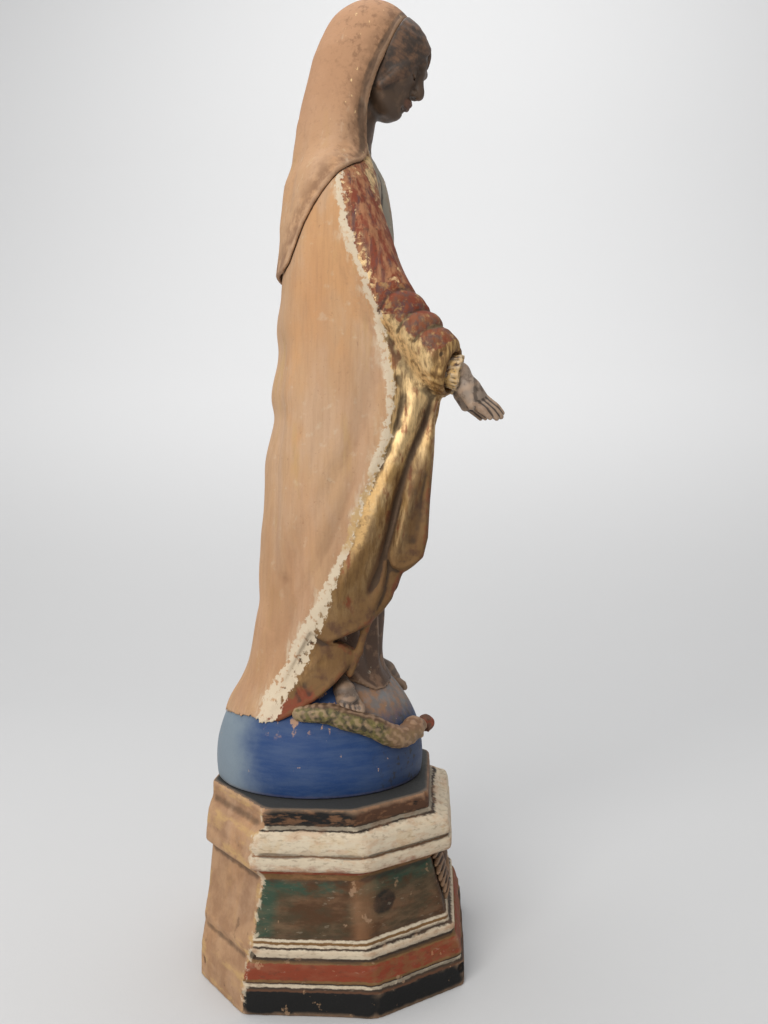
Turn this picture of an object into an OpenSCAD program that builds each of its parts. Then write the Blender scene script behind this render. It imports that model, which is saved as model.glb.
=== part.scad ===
// A painted and gilded terracotta Madonna on a half globe, which stands on an eight-sided plinth.
// Row frame: millimetres, +Z up, front towards -Y, the figure's right hand on the -X side.
// The origin is the middle of the plinth's foot. "Forward" distances below are along -Y.

/* [Plinth] */
// Height of the plinth from its foot to its black top
plinth_h = 72.5; // [70:0.5:75]
// Half the plinth's width at the foot
plinth_half_w = 60; // [58:0.5:62]
// Wall of the hollow plinth
plinth_wall = 7; // [6:0.5:8]

/* [Globe] */
// Radius of the globe
globe_r = 43.5; // [43:0.1:44]
// Height of the globe's centre above the plinth's top
globe_lift = 7.5; // [7:0.1:8]
// Wall of the hollow globe
globe_wall = 5; // [4:0.5:6]

/* [Seat peg] */
// Radius of the wooden peg between the plinth and the globe
peg_r = 5; // [4:0.1:6]
// How far the peg stands above the plinth
peg_up = 12; // [8:1:14]
// Radial clearance of the peg in the globe's plug
peg_clearance = 0.1; // [0.05:0.01:0.3]

/* [Figure] */
// Radius of the iron pin that holds each hand
pin_r = 0.9; // [0.7:0.1:1.2]
// Gap left between one moulded piece and the next
seam = 0.3; // [0.3:0.05:0.4]

// How much higher the left wrist is held than the right
left_rise = 8.5; // [0:0.5:10]

/* [Hidden] */
eps = 0.01;

// Eight corners at the foot and at the top: [half width, forward], from the front round to the back
foot_front = 54;
foot_back = 50;
foot_corners = [[35, foot_front], [plinth_half_w, 22], [plinth_half_w, -27], [33, -foot_back]];
top_corners = [[30, 39.5], [53.5, 13], [53.5, -20.5], [20, -48]];
// The plinth's mouldings: [height as a share of plinth_h, step from the foot's outline, 0, to the top's, 1]
mouldings = [[0, 0], [0.125, 0], [0.128, 0.09], [0.158, 0.09], [0.162, 0.02], [0.25, 0.2], [0.262, 0.34],
    [0.278, 0.34], [0.284, 0.26], [0.312, 0.26], [0.318, 0.42], [0.362, 0.46], [0.366, 0.55],
    [0.5, 0.72], [0.6, 0.86], [0.65, 0.93], [0.675, 0.78], [0.7, 0.5], [0.705, 0.36], [0.77, 0.33],
    [0.775, 0.46], [0.79, 0.46], [0.795, 0.36], [0.865, 0.42], [0.885, 0.7], [0.9, 0.96],
    [0.985, 0.97], [1, 1]];
cavity_corners = [[23, 32], [46, 8], [46, -16], [16, -40]];
top_wall = 9;

seat_gap = 0.1;
globe_y = 6.5;
globe_z = plinth_h + globe_lift;
plug_r = 34;
plug_h = 14;
plug_bore_h = peg_up + 1;

// The body's sections, one table per radius: [height, radius]. Each section is two half ellipses
// that share the side radius, one for the front and one for the back.
robe_front = [[112, 21.5], [125, 19.5], [145, 20], [170, 24], [195, 26.5], [220, 26], [245, 23.5],
    [262, 22], [280, 23.5], [297, 25.5], [310, 24.2], [320, 21.5], [328, 18.5], [335, 14],
    [339, 12.5]];
robe_side = [[112, 26.5], [145, 26], [195, 27.5], [220, 27], [262, 25], [297, 27], [310, 27.5], [320, 25],
    [328, 20], [335, 12.5], [339, 10.5]];
robe_back = [[112, 31], [125, 29], [145, 27], [195, 25], [245, 19.5], [262, 18.5], [297, 16.5], [320, 14],
    [335, 11], [339, 10]];
robe_base = 118;
robe_top = 338;
body_step = 6;
// The hollow that the clay was cast round
core_r = 13.5;
core_y = -0.5;
core_top = 312;

mantle_base = 97;
mantle_top = 334;
mantle_front = [[97, 40], [112, 38], [122, 19], [130, 25], [137, 32], [147, 44], [157, 50],
    [164, 64], [200, 66], [222, 68], [230, 76], [241, 82], [247, 82], [254, 73], [262, 64],
    [270, 56], [285, 45], [300, 35], [312, 27.5], [321, 21.7], [334, 16]];
mantle_side = [[97, 41], [104, 40], [112, 38], [122, 36.5], [147, 37], [175, 38.5], [200, 40], [241, 42],
    [262, 42], [285, 40], [300, 37.5], [312, 34], [321, 30], [329, 26], [334, 22.5]];
elbow_at = [37, -22, 262];
elbow_r = 6.5;
mantle_back = [[97, 47], [104, 45], [111, 40], [118, 37.3], [132, 35], [145, 32.5], [173, 31], [200, 28.8],
    [214, 26.5], [242, 23.5], [276, 22.7], [290, 20.6], [304, 19], [317, 17.5], [334, 15]];
// Where the mantle's front edge lies, as an angle from the middle of the back
mantle_open = [[97, 59], [104, 77], [112, 91], [118, 107], [122, 115], [130, 119], [147, 124], [175, 126.5],
    [222, 128.5], [241, 126], [300, 126.5], [334, 127]];

// The veil: a cape over the shoulders, and a hood round the head
cape_base = 283;
cape_open = [[283, 9], [290, 45], [300, 75], [312, 95], [320, 112], [328, 125], [334, 128]];
veil_t = 2.3;
// [height, forward place of the middle, front, side and back radius]
hood_rings = [[334, 0, 17, 25, 17.9], [340, 1, 17.2, 21.6, 18.1], [346, 2.2, 17.6, 19.4, 18.3],
    [354, 4.2, 19, 18.7, 18.7], [365, 8, 22, 19.2, 19.6], [372, 9.5, 23, 19.4, 19.7],
    [380, 11, 22, 18.4, 19.4], [387, 12, 19, 15.8, 18], [393, 12, 15, 11.5, 14],
    [397.5, 12, 9, 7, 8], [399.8, 12, 4, 3, 4]];
face_edge = [[28, 330], [13.5, 330], [14.5, 345], [17, 353], [22.5, 365], [29.5, 380], [31, 393], [60, 393],
    [60, 330]];

// The head leans forward; its rings are in its own frame: [height, middle, front, side, back]
head_at = [0, -20, 372.5];
head_tilt = 26;
head_rings = [[-22, 12, 3, 3.5, 3], [-20, 10.5, 6, 7, 6.5], [-14, 6.5, 10.5, 11, 11],
    [-7, 3, 15, 13.2, 14], [0, 1, 17, 15, 16.5], [7, 0.5, 17.4, 15.4, 16.5],
    [11, -0.3, 15.4, 13.4, 14.5], [14, -1, 11.4, 10.5, 11], [15.6, -2, 5.6, 5.5, 6]];
neck_r = 8.2;
neck_z = robe_top + 0.1;
dowel_r = 2.5;
dowel_down = 14;
dowel_up = 10;

// Hands: the cuff's middle, and the pitch of the cuff and of the hand below the horizontal
cuff_at = [36, -48.6, 235.4];
cuff_pitch = 15;
cuff_r = 7.2;
cuff_bore_r = 5.8;
cuff_l = 3.2;
wrist_r = 4.3;
wrist_bend = 2.8;
hand_pitch = 53;
hand_roll = 32;
hand_toe_in = 4;
// How far each hand's pin reaches back into the sleeve and forward into the wrist
pin_back = 14;
pin_front = 5;

// The serpent: points of its middle line round the globe, as [bearing, height, radius];
// the bearing is 0 in front and grows towards the figure's right
serpent_path = [[93, 104, 2.6], [86, 104.3, 3.6], [77, 104, 4], [69, 102, 4.1], [61, 100.4, 4.2],
    [53.5, 98.4, 4.2], [46, 95.2, 4.2], [39, 93, 4.2], [32, 92.4, 4.1], [26, 93, 3.6]];
snout = [-13.8, -35.5, 94];
apple_at = [-8, -38.6, 94];
apple_r = 3.6;

// ---- Shared shapes ----

// A point of a section: angle from the middle of the back, forward place of the middle, three radii, height
function egg(t, mid, front, side, back, z) =
    [-side * sin(t), -(mid - (cos(t) > 0 ? back : front) * cos(t)), z];

function mid_of(ring) =
    [for (k = [0:2]) let (v = [for (p = ring) p[k]]) (v * [for (p = ring) 1]) / len(ring)];

// Closed solid through a stack of rings that all have the same number of points
module skin(rings) {
    n = len(rings[0]);
    m = len(rings);
    sides = [for (j = [0:m - 2], i = [0:n - 1]) let (a = j * n + i, b = j * n + (i + 1) % n)
        each [[a, a + n, b], [b, a + n, b + n]]];
    foot = [for (i = [0:n - 1]) [m * n, i, (i + 1) % n]];
    crown = [for (i = [0:n - 1]) [m * n + 1, (m - 1) * n + (i + 1) % n, (m - 1) * n + i]];
    polyhedron(concat([for (r = rings) each r], [mid_of(rings[0]), mid_of(rings[m - 1])]),
        concat(sides, foot, crown), convexity = 6);
}

// Closed solid between an outer and an inner sheet, which are grids of points with the same size
module shell(outer, inner) {
    m = len(outer);
    n = len(outer[0]);
    o = m * n;
    function quad(a, b, c, d) = [[a, b, c], [a, c, d]];
    faces = concat(
        [for (j = [0:m - 2], i = [0:n - 2]) let (a = j * n + i) each quad(a, a + n, a + n + 1, a + 1)],
        [for (j = [0:m - 2], i = [0:n - 2]) let (a = o + j * n + i) each quad(a, a + 1, a + n + 1, a + n)],
        [for (i = [0:n - 2]) each quad(i, i + 1, o + i + 1, o + i)],
        [for (i = [0:n - 2]) let (a = (m - 1) * n + i) each quad(a, o + a, o + a + 1, a + 1)],
        [for (j = [0:m - 2]) let (a = j * n) each quad(a, o + a, o + a + n, a + n)],
        [for (j = [0:m - 2]) let (a = j * n + n - 1) each quad(a, a + n, o + a + n, o + a)]);
    polyhedron(concat([for (r = outer) each r], [for (r = inner) each r]), faces, convexity = 6);
}

// Height of the globe's surface over a point, raised by a gap
function over_globe(x, y, gap) =
    globe_z + sqrt(max(1, pow(globe_r + gap, 2) - x * x - pow(y - globe_y, 2)));

// A point pushed out of the globe
function off_globe(p) =
    let (c = [0, globe_y, globe_z], v = p - c, d = norm(v))
    d < globe_r + seam ? c + v / d * (globe_r + seam) : p;

// ---- Plinth ----

function corner(i, s) = let (k = i < 4 ? i : 7 - i, side = i < 4 ? 1 : -1,
    c = foot_corners[k] + s * (top_corners[k] - foot_corners[k])) [side * c[0], -c[1]];

function octagon(s, z) = [for (i = [0:7]) let (c = corner(i, s)) [c[0], c[1], z]];

module plinth() {
    color("#9a6a45") difference() {
        skin([for (m = mouldings) octagon(m[1], m[0] * plinth_h)]);
        translate([0, 0, -eps]) linear_extrude(plinth_h - top_wall + eps)
            polygon([for (i = [0:7]) let (c = cavity_corners[i < 4 ? i : 7 - i])
                [(i < 4 ? 1 : -1) * c[0], -c[1]]]);
        translate([0, globe_y, plinth_h - top_wall - 1]) cylinder(r = peg_r, h = top_wall + 2, $fn = 48);
    }
}

module plinth_ornament() {
    boss_z = 37;
    boss_y = -46;
    color("#6b4a35") difference() {
        union() {
            translate([0, boss_y, boss_z]) rotate([90, 0, 0]) cylinder(r = 9.5, h = 6.5, $fn = 40);
            for (side = [-1, 1]) hull() {
                translate([side * 8, boss_y, boss_z - 2]) rotate([90, 0, 0])
                    cylinder(r = 9, h = 5, $fn = 24);
                translate([side * 24, boss_y + 1, boss_z + 6]) rotate([90, 0, 0])
                    cylinder(r = 5, h = 4, $fn = 24);
                translate([side * 27, boss_y + 1, boss_z - 4]) rotate([90, 0, 0])
                    cylinder(r = 2.5, h = 3, $fn = 24);
            }
        }
        // the back of the ornament is cut to the slope of the plinth's front
        skin([for (m = mouldings)
            [for (p = octagon(m[1], m[0] * plinth_h)) p + [0, p[1] < 0 ? -0.2 : 0, 0]]]);
    }
}

module seat_peg() {
    color("#b98a55") translate([0, globe_y, plinth_h - top_wall])
        cylinder(r = peg_r, h = top_wall + peg_up, $fn = 48);
}

// ---- Globe ----

module globe() {
    color("#2f4f8f") translate([0, globe_y, 0]) rotate_extrude($fn = 96) intersection() {
        translate([0, plinth_h + seat_gap]) square([2 * globe_r, 2 * globe_r]);
        difference() {
            translate([0, globe_z]) circle(r = globe_r, $fn = 96);
            translate([0, globe_z]) circle(r = globe_r - globe_wall, $fn = 96);
        }
    }
}

module globe_plug() {
    color("#d8cdb8") translate([0, globe_y, plinth_h + seat_gap]) difference() {
        cylinder(r = plug_r, h = plug_h, $fn = 72);
        translate([0, 0, -eps]) cylinder(r = peg_r + peg_clearance, h = plug_bore_h + eps, $fn = 48);
    }
}

// A ring of the serpent round one point of its middle line
function serpent_spot(s) = let (r = sqrt(pow(globe_r + s[2] * 0.55, 2) - pow(s[1] - globe_z, 2)))
    [-r * sin(s[0]), globe_y - r * cos(s[0]), s[1]];

function serpent_rings(path) = [for (k = [0:len(path) - 1])
    let (here = serpent_spot(path[k]),
        ahead = serpent_spot(path[min(k + 1, len(path) - 1)]) - serpent_spot(path[max(k - 1, 0)]),
        out = (here - [0, globe_y, globe_z]) / norm(here - [0, globe_y, globe_z]),
        across = cross(ahead, out) / norm(cross(ahead, out)))
    [for (i = [0:9]) off_globe(here + path[k][2] * (cos(36 * i) * out + sin(36 * i) * across))]];

module clear_of_globe() {
    difference() {
        children();
        translate([0, globe_y, globe_z]) sphere(r = globe_r + seam, $fn = 96);
    }
}

module serpent() {
    brow = serpent_spot([27, 93.6, 4]);
    color("#5a6a35") {
        skin(serpent_rings(serpent_path));
        clear_of_globe() hull() {
            translate(brow) sphere(r = 4.1, $fn = 24);
            translate(snout) sphere(r = 2.4, $fn = 20);
        }
    }
}

module apple() {
    color("#a8552f") translate(apple_at) sphere(r = apple_r, $fn = 32);
}

// ---- Figure ----

section_n = 36;

function robe_ring(z) = [for (i = [0:section_n - 1])
    egg(360 * i / section_n, 0, lookup(z, robe_front), lookup(z, robe_side), lookup(z, robe_back), z)];

// A ring of the robe's underside, shrunk towards the middle and laid on the globe
function robe_sole(share) = [for (p = robe_ring(robe_base)) let (x = p[0] * share, y = p[1] * share)
    [x, y, over_globe(x, y, seam + 0.1)]];

module robe() {
    color("#8d8a80") difference() {
        skin(concat([for (s = [0.15, 0.4, 0.65, 0.85, 1]) robe_sole(s)],
            [for (z = [robe_base + body_step:body_step:robe_top - body_step / 2]) robe_ring(z)],
            [robe_ring(robe_top)]));
        translate([0, -3, robe_top - dowel_down]) cylinder(r = dowel_r, h = dowel_down + 1, $fn = 32);
        translate([0, core_y, globe_z]) cylinder(r = core_r, h = core_top - globe_z, $fn = 64);
    }
}

mantle_n = 32;

function mantle_row(z, zo, zi, inner) = let (open = lookup(z, mantle_open))
    [for (i = [0:mantle_n]) let (t = open * (2 * i / mantle_n - 1))
        inner ? egg(t, 0, lookup(zi, robe_front) + seam, lookup(zi, robe_side) + seam,
                lookup(zi, robe_back) + seam, zi)
            : egg(t, 0, lookup(z, mantle_front), lookup(z, mantle_side), lookup(z, mantle_back), zo)];

// The mantle's hem follows the globe: its lowest rows rise from just inside the globe, which
// then cuts them, to the robe's first ring
function hem_row(s, inner) =
    [for (p = mantle_row(mantle_base + s * (robe_base - mantle_base), 0, robe_base, inner))
    [p[0], p[1], (1 - s) * over_globe(p[0], p[1], seam - hem_sink) + s * robe_base]];

hem_sink = 1.2;
hem_steps = [0, 0.3, 0.65];
mantle_heights = concat([for (z = [robe_base:body_step:mantle_top - body_step / 2]) z], [mantle_top]);

module cuff_place(side) {
    translate([side * cuff_at[0], cuff_at[1], cuff_at[2] + (side > 0 ? left_rise : 0)])
        rotate([90 + cuff_pitch, 0, side * hand_toe_in]) children();
}

module mantle() {
    color("#c79a76") difference() {
        union() {
            shell(concat([for (s = hem_steps) hem_row(s, false)],
                [for (z = mantle_heights) mantle_row(z, z, z, false)]),
                concat([for (s = hem_steps) hem_row(s, true)],
                    [for (z = mantle_heights) mantle_row(z, z, z, true)]));
            for (side = [-1, 1]) hull() {
                translate([side * elbow_at[0], elbow_at[1], elbow_at[2]]) sphere(r = elbow_r, $fn = 24);
                cuff_place(side) translate([0, 0, -3]) cylinder(r = cuff_r + 2.2, h = 2.9, $fn = 40);
            }
        }
        translate([0, globe_y, globe_z]) sphere(r = globe_r + seam, $fn = 96);
        for (side = [-1, 1]) cuff_place(side) {
            translate([0, 0, -0.05]) cylinder(r = cuff_r + seam, h = 12, $fn = 40);
            translate([0, 0, -pin_back]) cylinder(r = pin_r + 0.1, h = pin_back + 1, $fn = 24);
        }
    }
}

function hood_ring(r, inset) = [for (i = [0:section_n - 1])
    egg(360 * i / section_n, r[1], r[2] - inset, r[3] - inset, r[4] - inset, r[0])];

// The hood's wall, thicker by grow on its inner side
module hood(grow) {
    function lining(r) = [for (p = hood_ring(r, veil_t + grow)) p - [0, 0, r[0] > 385 ? 1.6 + grow : 0]];
    difference() {
        skin([for (r = hood_rings) hood_ring(r, 0)]);
        skin(concat([[for (p = hood_ring(hood_rings[0], veil_t + grow)) p - [0, 0, 1]]],
            [for (r = hood_rings) if (r[0] < 395) lining(r)]));
        rotate([90, 0, -90]) linear_extrude(120, center = true)
            polygon([for (p = face_edge) [p[0] + grow, p[1]]]);
    }
}

module veil() {
    cape_heights = concat([cape_base], [for (z = [286:body_step:mantle_top - 1]) z], [mantle_top]);
    function cape_row(z, widen) =
        [for (i = [0:mantle_n]) let (t = lookup(z, cape_open) * (2 * i / mantle_n - 1))
        egg(t, 0, lookup(z, mantle_front) + widen, lookup(z, mantle_side) + widen,
            lookup(z, mantle_back) + widen, z)];
    color("#c8967a") {
        shell([for (z = cape_heights) cape_row(z, veil_t + 2 * seam)],
            [for (z = cape_heights) cape_row(z, 2 * seam)]);
        hood(0);
    }
}

module neck_dowel() {
    color("#8a6238") translate([0, -3, robe_top - dowel_down])
        cylinder(r = dowel_r - 0.05, h = dowel_down + dowel_up, $fn = 32);
}

module head() {
    color("#8a6a55") difference() {
        union() {
            translate(head_at) rotate([head_tilt, 0, 0])
                skin([for (r = head_rings)
                    [for (i = [0:31]) egg(360 * i / 32, r[1], r[2], r[3], r[4], r[0])]]);
            hull() {
                translate([0, -3, neck_z]) cylinder(r = neck_r, h = 1, $fn = 32);
                translate([0, -15, neck_z + 24]) sphere(r = neck_r, $fn = 32);
            }
            translate(head_at) rotate([head_tilt, 0, 0]) hull() {
                translate([0, -17, 1]) sphere(r = 1, $fn = 12);
                translate([0, -20, -6]) sphere(r = 1.6, $fn = 12);
                translate([0, -14, -6]) sphere(r = 3, $fn = 12);
            }
        }
        translate([0, -3, neck_z - 1]) cylinder(r = dowel_r, h = dowel_up + 1.2, $fn = 32);
        hood(seam);
    }
}

module cuff(side) {
    color("#a98a4a") cuff_place(side) difference() {
        cylinder(r = cuff_r, h = cuff_l, $fn = 48);
        translate([0, 0, -1]) cylinder(r = cuff_bore_r, h = cuff_l + 2, $fn = 48);
    }
}

module hand_place(side) {
    cuff_place(side) translate([0, 0, wrist_bend]) rotate([hand_pitch - cuff_pitch, 0, 0])
        rotate([0, 0, -side * hand_roll]) children();
}

// Local frame of a hand: +Z from the wrist to the fingers, +Y towards the back of the hand.
// Its sections: [distance along the hand, half width, half thickness, rise towards the back]
hand_rings = [[3, 4.1, 3.9, 0], [8, 4.3, 3.5, 0], [12, 5.3, 3.1, 0], [15.5, 5.9, 2.8, 0.3],
    [18.5, 5.9, 2.3, 0.9], [20.8, 5.4, 1.9, 2.1], [22.6, 4, 1.3, 3.6]];

module hand(side) {
    color("#8f7a66") difference() {
        union() {
            hull() {
                cuff_place(side) translate([0, 0, 0.5]) cylinder(r = wrist_r, h = 1, $fn = 28);
                hand_place(side) sphere(r = wrist_r, $fn = 24);
                hand_place(side) translate([0, 0, 5]) sphere(r = 3.7, $fn = 24);
            }
            hand_place(side) {
                skin([for (r = hand_rings) [for (i = [0:23])
                    [r[1] * cos(15 * i), r[3] + r[2] * sin(15 * i), r[0]]]]);
                hull() {
                    translate([side * -3.6, -0.8, 8]) sphere(r = 2, $fn = 16);
                    translate([side * -6.6, 0.8, 15]) sphere(r = 1.4, $fn = 16);
                }
            }
        }
        cuff_place(side) {
            translate([0, 0, -6]) cylinder(r = wrist_r + 3, h = 6.4, $fn = 28);
            translate([0, 0, -1]) cylinder(r = pin_r + 0.05, h = pin_front + 1.1, $fn = 24);
        }
    }
}

module hand_pin(side) {
    color("#4a4542") cuff_place(side) translate([0, 0, 0.1 - pin_back])
        cylinder(r = pin_r, h = pin_back + pin_front - 0.1, $fn = 24);
}

// A foot under the robe's hem; its toes point forward before it is turned
module foot(turn, tilt, at) {
    color("#8f7260") clear_of_globe() translate(at) rotate([tilt, 0, turn]) difference() {
        hull() {
            scale([0.84, 1, 0.7]) sphere(r = 4.3, $fn = 24);
            translate([0, -9.5, -0.8]) scale([1.15, 0.9, 0.6]) sphere(r = 4, $fn = 24);
        }
        translate([-10, -20, -9.4]) cube([20, 40, 7]);
    }
}

plinth();
plinth_ornament();
seat_peg();
globe();
globe_plug();
serpent();
apple();
robe();
foot(-62, 24, [-28.9, -7, 112.3]);  // right_foot
foot(28, 42, [17.4, -20.3, 111.8]);  // left_foot
mantle();
veil();
head();
neck_dowel();
cuff(-1);  // right_cuff
cuff(1);  // left_cuff
hand(-1);  // right_hand
hand(1);  // left_hand
hand_pin(-1);  // right_hand_pin
hand_pin(1);  // left_hand_pin
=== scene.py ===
"""Looks of a painted and gilded terracotta Madonna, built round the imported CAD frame.

Shapes are modelled as signed distances in millimetres, in the frame's own axes. "Forward" (f) is the
distance along -Y, so the figure faces +f, and its right hand is on the -X side.
"""
import math

import bpy
import numpy as np
import openvdb
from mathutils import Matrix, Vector


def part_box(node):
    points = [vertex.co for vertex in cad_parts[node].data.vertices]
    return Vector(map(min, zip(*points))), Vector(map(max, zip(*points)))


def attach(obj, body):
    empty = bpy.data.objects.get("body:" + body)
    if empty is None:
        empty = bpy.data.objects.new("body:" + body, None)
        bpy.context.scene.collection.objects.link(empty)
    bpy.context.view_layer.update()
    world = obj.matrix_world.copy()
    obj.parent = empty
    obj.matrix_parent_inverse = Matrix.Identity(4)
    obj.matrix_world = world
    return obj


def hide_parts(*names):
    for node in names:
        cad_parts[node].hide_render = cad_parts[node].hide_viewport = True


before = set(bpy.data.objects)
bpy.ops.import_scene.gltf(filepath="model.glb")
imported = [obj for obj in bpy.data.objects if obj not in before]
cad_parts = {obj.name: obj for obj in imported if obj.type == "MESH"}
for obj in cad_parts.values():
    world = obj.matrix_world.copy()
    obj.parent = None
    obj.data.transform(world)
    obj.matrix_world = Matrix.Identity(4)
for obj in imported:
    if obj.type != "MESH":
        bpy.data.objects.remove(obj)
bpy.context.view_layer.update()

MM = 0.001
COARSE = 1.0

# ---- Driving sizes, in mm ----

PLINTH_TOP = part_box("plinth")[1][2] / MM
GLOBE_LOW, GLOBE_HIGH = (np.array(corner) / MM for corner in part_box("globe"))
GLOBE_R = 43.5
GLOBE_F = -(GLOBE_LOW[1] + GLOBE_HIGH[1]) / 2
GLOBE_Z = GLOBE_HIGH[2] - GLOBE_R
CUFF_AT = np.array([36.0, 48.8, 235.4])
CUFF_PITCH = math.radians(10)
MOUTH_PITCH = math.radians(17)
MOUTH_TOE = 20  # degrees that the sleeve's mouth turns outward
HAND_PITCH = math.radians(57)
FINGER_PITCH = math.radians(41)
HAND_ROLL = math.radians(55)
LEFT_RISE = 8.5
BELT_HEIGHT = 262.5
ROBE_TOP = 338.5
HOLLOW_TOP = 63.5
BORE_R = 5.05
BORE_FOOT = 60

# ---- Camera ----


def linked(name, data):
    """A new object with this data, in the scene."""
    thing = bpy.data.objects.new(name, data)
    bpy.context.collection.objects.link(thing)
    return thing


def add_camera():
    data = bpy.data.cameras.new("camera")
    data.lens = 30.6
    data.sensor_width = 36
    data.sensor_fit = "AUTO"
    data.clip_start = 0.01
    camera = linked("camera", data)
    camera.location = (-0.3708, -0.0421, 0.1817)
    camera.rotation_euler = (math.radians(90), 0, math.radians(-86.7))
    bpy.context.scene.camera = camera


add_camera()

# ---- Signed distances ----


class Block:
    """A box of space, in mm, sampled every step, and the distance field that is modelled in it."""

    def __init__(self, low, high, step):
        self.step = step * COARSE
        self.low = np.array(low, float)
        axes = []
        for start, end in zip(low, high):
            count = int(math.ceil((end - start) / self.step)) + 1
            axes.append((start + self.step * np.arange(count)).astype(np.float32))
        self.x = axes[0][:, None, None]
        self.f = -axes[1][None, :, None]
        self.z = axes[2][None, None, :]
        self.d = np.full([len(a) for a in axes], 50, np.float32)

    def add(self, shape, low, high, blend, carve):
        """Smooth union, or with carve difference, with shape(x, f, z), which lies between two corners."""
        margin = blend + 3 * self.step
        low, high = np.array(low) - margin, np.array(high) + margin
        starts, ends = (low[0], -high[1], low[2]), (high[0], -low[1], high[2])
        pick = []
        for origin, start, end in zip(self.low, starts, ends):
            first, last = int((start - origin) / self.step), int((end - origin) / self.step) + 2
            pick.append(slice(max(first, 0), max(last, 0)))
        near = self.d[tuple(pick)]
        if near.size:
            found = shape(self.x[pick[0]], self.f[:, pick[1]], self.z[:, :, pick[2]])
            near[:] = smax(near, -found, blend) if carve else smin(near, found, blend)

    def tube(self, path, radii, blend=1.0, carve=False):
        """A round bar, or with carve a round channel, along a path of (x, f, z) points."""
        path = [np.array(point, float) for point in path]
        for a, b, ra, rb in zip(path, path[1:], radii, radii[1:]):
            reach = max(ra, rb)
            self.add(lambda x, f, z: bar(x, f, z, a, b, ra, rb),
                     np.minimum(a, b) - reach, np.maximum(a, b) + reach, blend, carve)

    def ball(self, middle, radii, blend=1.0, carve=False):
        """An ellipsoid, added or carved."""
        radii = np.array(radii, float) * np.ones(3)
        self.add(lambda x, f, z: ellipsoid(x, f, z, middle, radii),
                 middle - radii, middle + radii, blend, carve)


def smin(a, b, k):
    """The smaller of two distances, blended where they differ by less than k."""
    h = np.maximum(k - np.abs(a - b), 0) / k
    return np.minimum(a, b) - h * h * k * 0.25


def smax(a, b, k):
    return -smin(-a, -b, k)


def bar(x, f, z, a, b, ra, rb):
    """Distance to a round bar from a to b, with radius ra at one end and rb at the other."""
    run = b - a
    length2 = float(run @ run) + 1e-9
    h = np.clip(((x - a[0]) * run[0] + (f - a[1]) * run[1] + (z - a[2]) * run[2]) / length2, 0, 1)
    off = (x - a[0] - h * run[0]) ** 2 + (f - a[1] - h * run[1]) ** 2 + (z - a[2] - h * run[2]) ** 2
    return np.sqrt(off) - (ra + (rb - ra) * h)


def ellipsoid(x, f, z, at, radii):
    u, v, w = (x - at[0]) / radii[0], (f - at[1]) / radii[1], (z - at[2]) / radii[2]
    near = np.sqrt(u * u + v * v + w * w)
    slope = np.sqrt((u / radii[0]) ** 2 + (v / radii[1]) ** 2 + (w / radii[2]) ** 2) + 1e-6
    return near * (near - 1) / slope


def ease(t):
    """0 below 0, 1 above 1, smooth between."""
    t = np.clip(t, 0, 1)
    return t * t * (3 - 2 * t)


def level(z, table):
    """A table of (height, value) pairs read at z, with its corners softened over a few mm."""
    pitch, soft = 0.5, 2.5
    heights = [row[0] for row in table]
    fine = np.arange(min(heights) - 12, max(heights) + 12, pitch)
    values = np.interp(fine, heights, [row[1] for row in table])
    reach = int(3 * soft / pitch)
    kernel = np.exp(-0.5 * (np.arange(-reach, reach + 1) * pitch / soft) ** 2)
    values = np.convolve(np.pad(values, reach, "edge"), kernel / kernel.sum(), "valid")
    return np.interp(z, fine, values).astype(np.float32)


def lookup(z, table):
    """A table of (place, value) pairs read at z, with its corners kept sharp."""
    return np.interp(z, [row[0] for row in table], [row[1] for row in table])


def loft(block, mid, front, side, back):
    """Distance to a stack of sections, each two half ellipses that share their side radius."""
    across = block.f - level(block.z, mid)
    depth = np.where(across > 0, level(block.z, front), level(block.z, back))
    wide = level(block.z, side)
    near = np.sqrt((block.x / wide) ** 2 + (across / depth) ** 2)
    slope = np.sqrt((block.x / wide ** 2) ** 2 + (across / depth ** 2) ** 2) + 1e-6
    v = (near - 1) * near / slope
    lean = np.gradient(v, block.step, axis=2)
    return v / np.sqrt(1 + lean * lean)


def curve(points, per=5):
    """A smooth line through the points (Catmull-Rom)."""
    p = np.array(points, float)
    if len(p) < 3:
        return p
    p = np.vstack([2 * p[0] - p[1], p, 2 * p[-1] - p[-2]])
    out = []
    for k in range(1, len(p) - 2):
        for t in np.arange(per) / per:
            a = 2 * p[k] + t * (p[k + 1] - p[k - 1])
            b = t * t * (2 * p[k - 1] - 5 * p[k] + 4 * p[k + 1] - p[k + 2])
            c = t ** 3 * (3 * p[k] - p[k - 1] - 3 * p[k + 1] + p[k + 2])
            out.append(0.5 * (a + b + c))
    return np.array(out + [p[-2]])


def spread(values, count):
    """The values spread evenly over a number of points, with straight steps between them."""
    return np.interp(np.linspace(0, 1, count), np.linspace(0, 1, len(values)), values)


def near_line(u, v, points):
    """Distance from (u, v) to a polyline, and how far along it the nearest point is, 0 to 1."""
    best = np.full(np.broadcast(u, v).shape, 1e6)
    along = np.zeros_like(best)
    steps = np.linalg.norm(np.diff(points, axis=0), axis=1)
    whole, done = steps.sum(), 0
    for k, size in enumerate(steps):
        a, run = points[k], points[k + 1] - points[k]
        h = np.clip(((u - a[0]) * run[0] + (v - a[1]) * run[1]) / (size * size + 1e-9), 0, 1)
        off = np.hypot(u - a[0] - h * run[0], v - a[1] - h * run[1])
        closer = off < best
        best = np.where(closer, off, best)
        along = np.where(closer, (done + h * size) / whole, along)
        done += size
    return best, along


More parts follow.
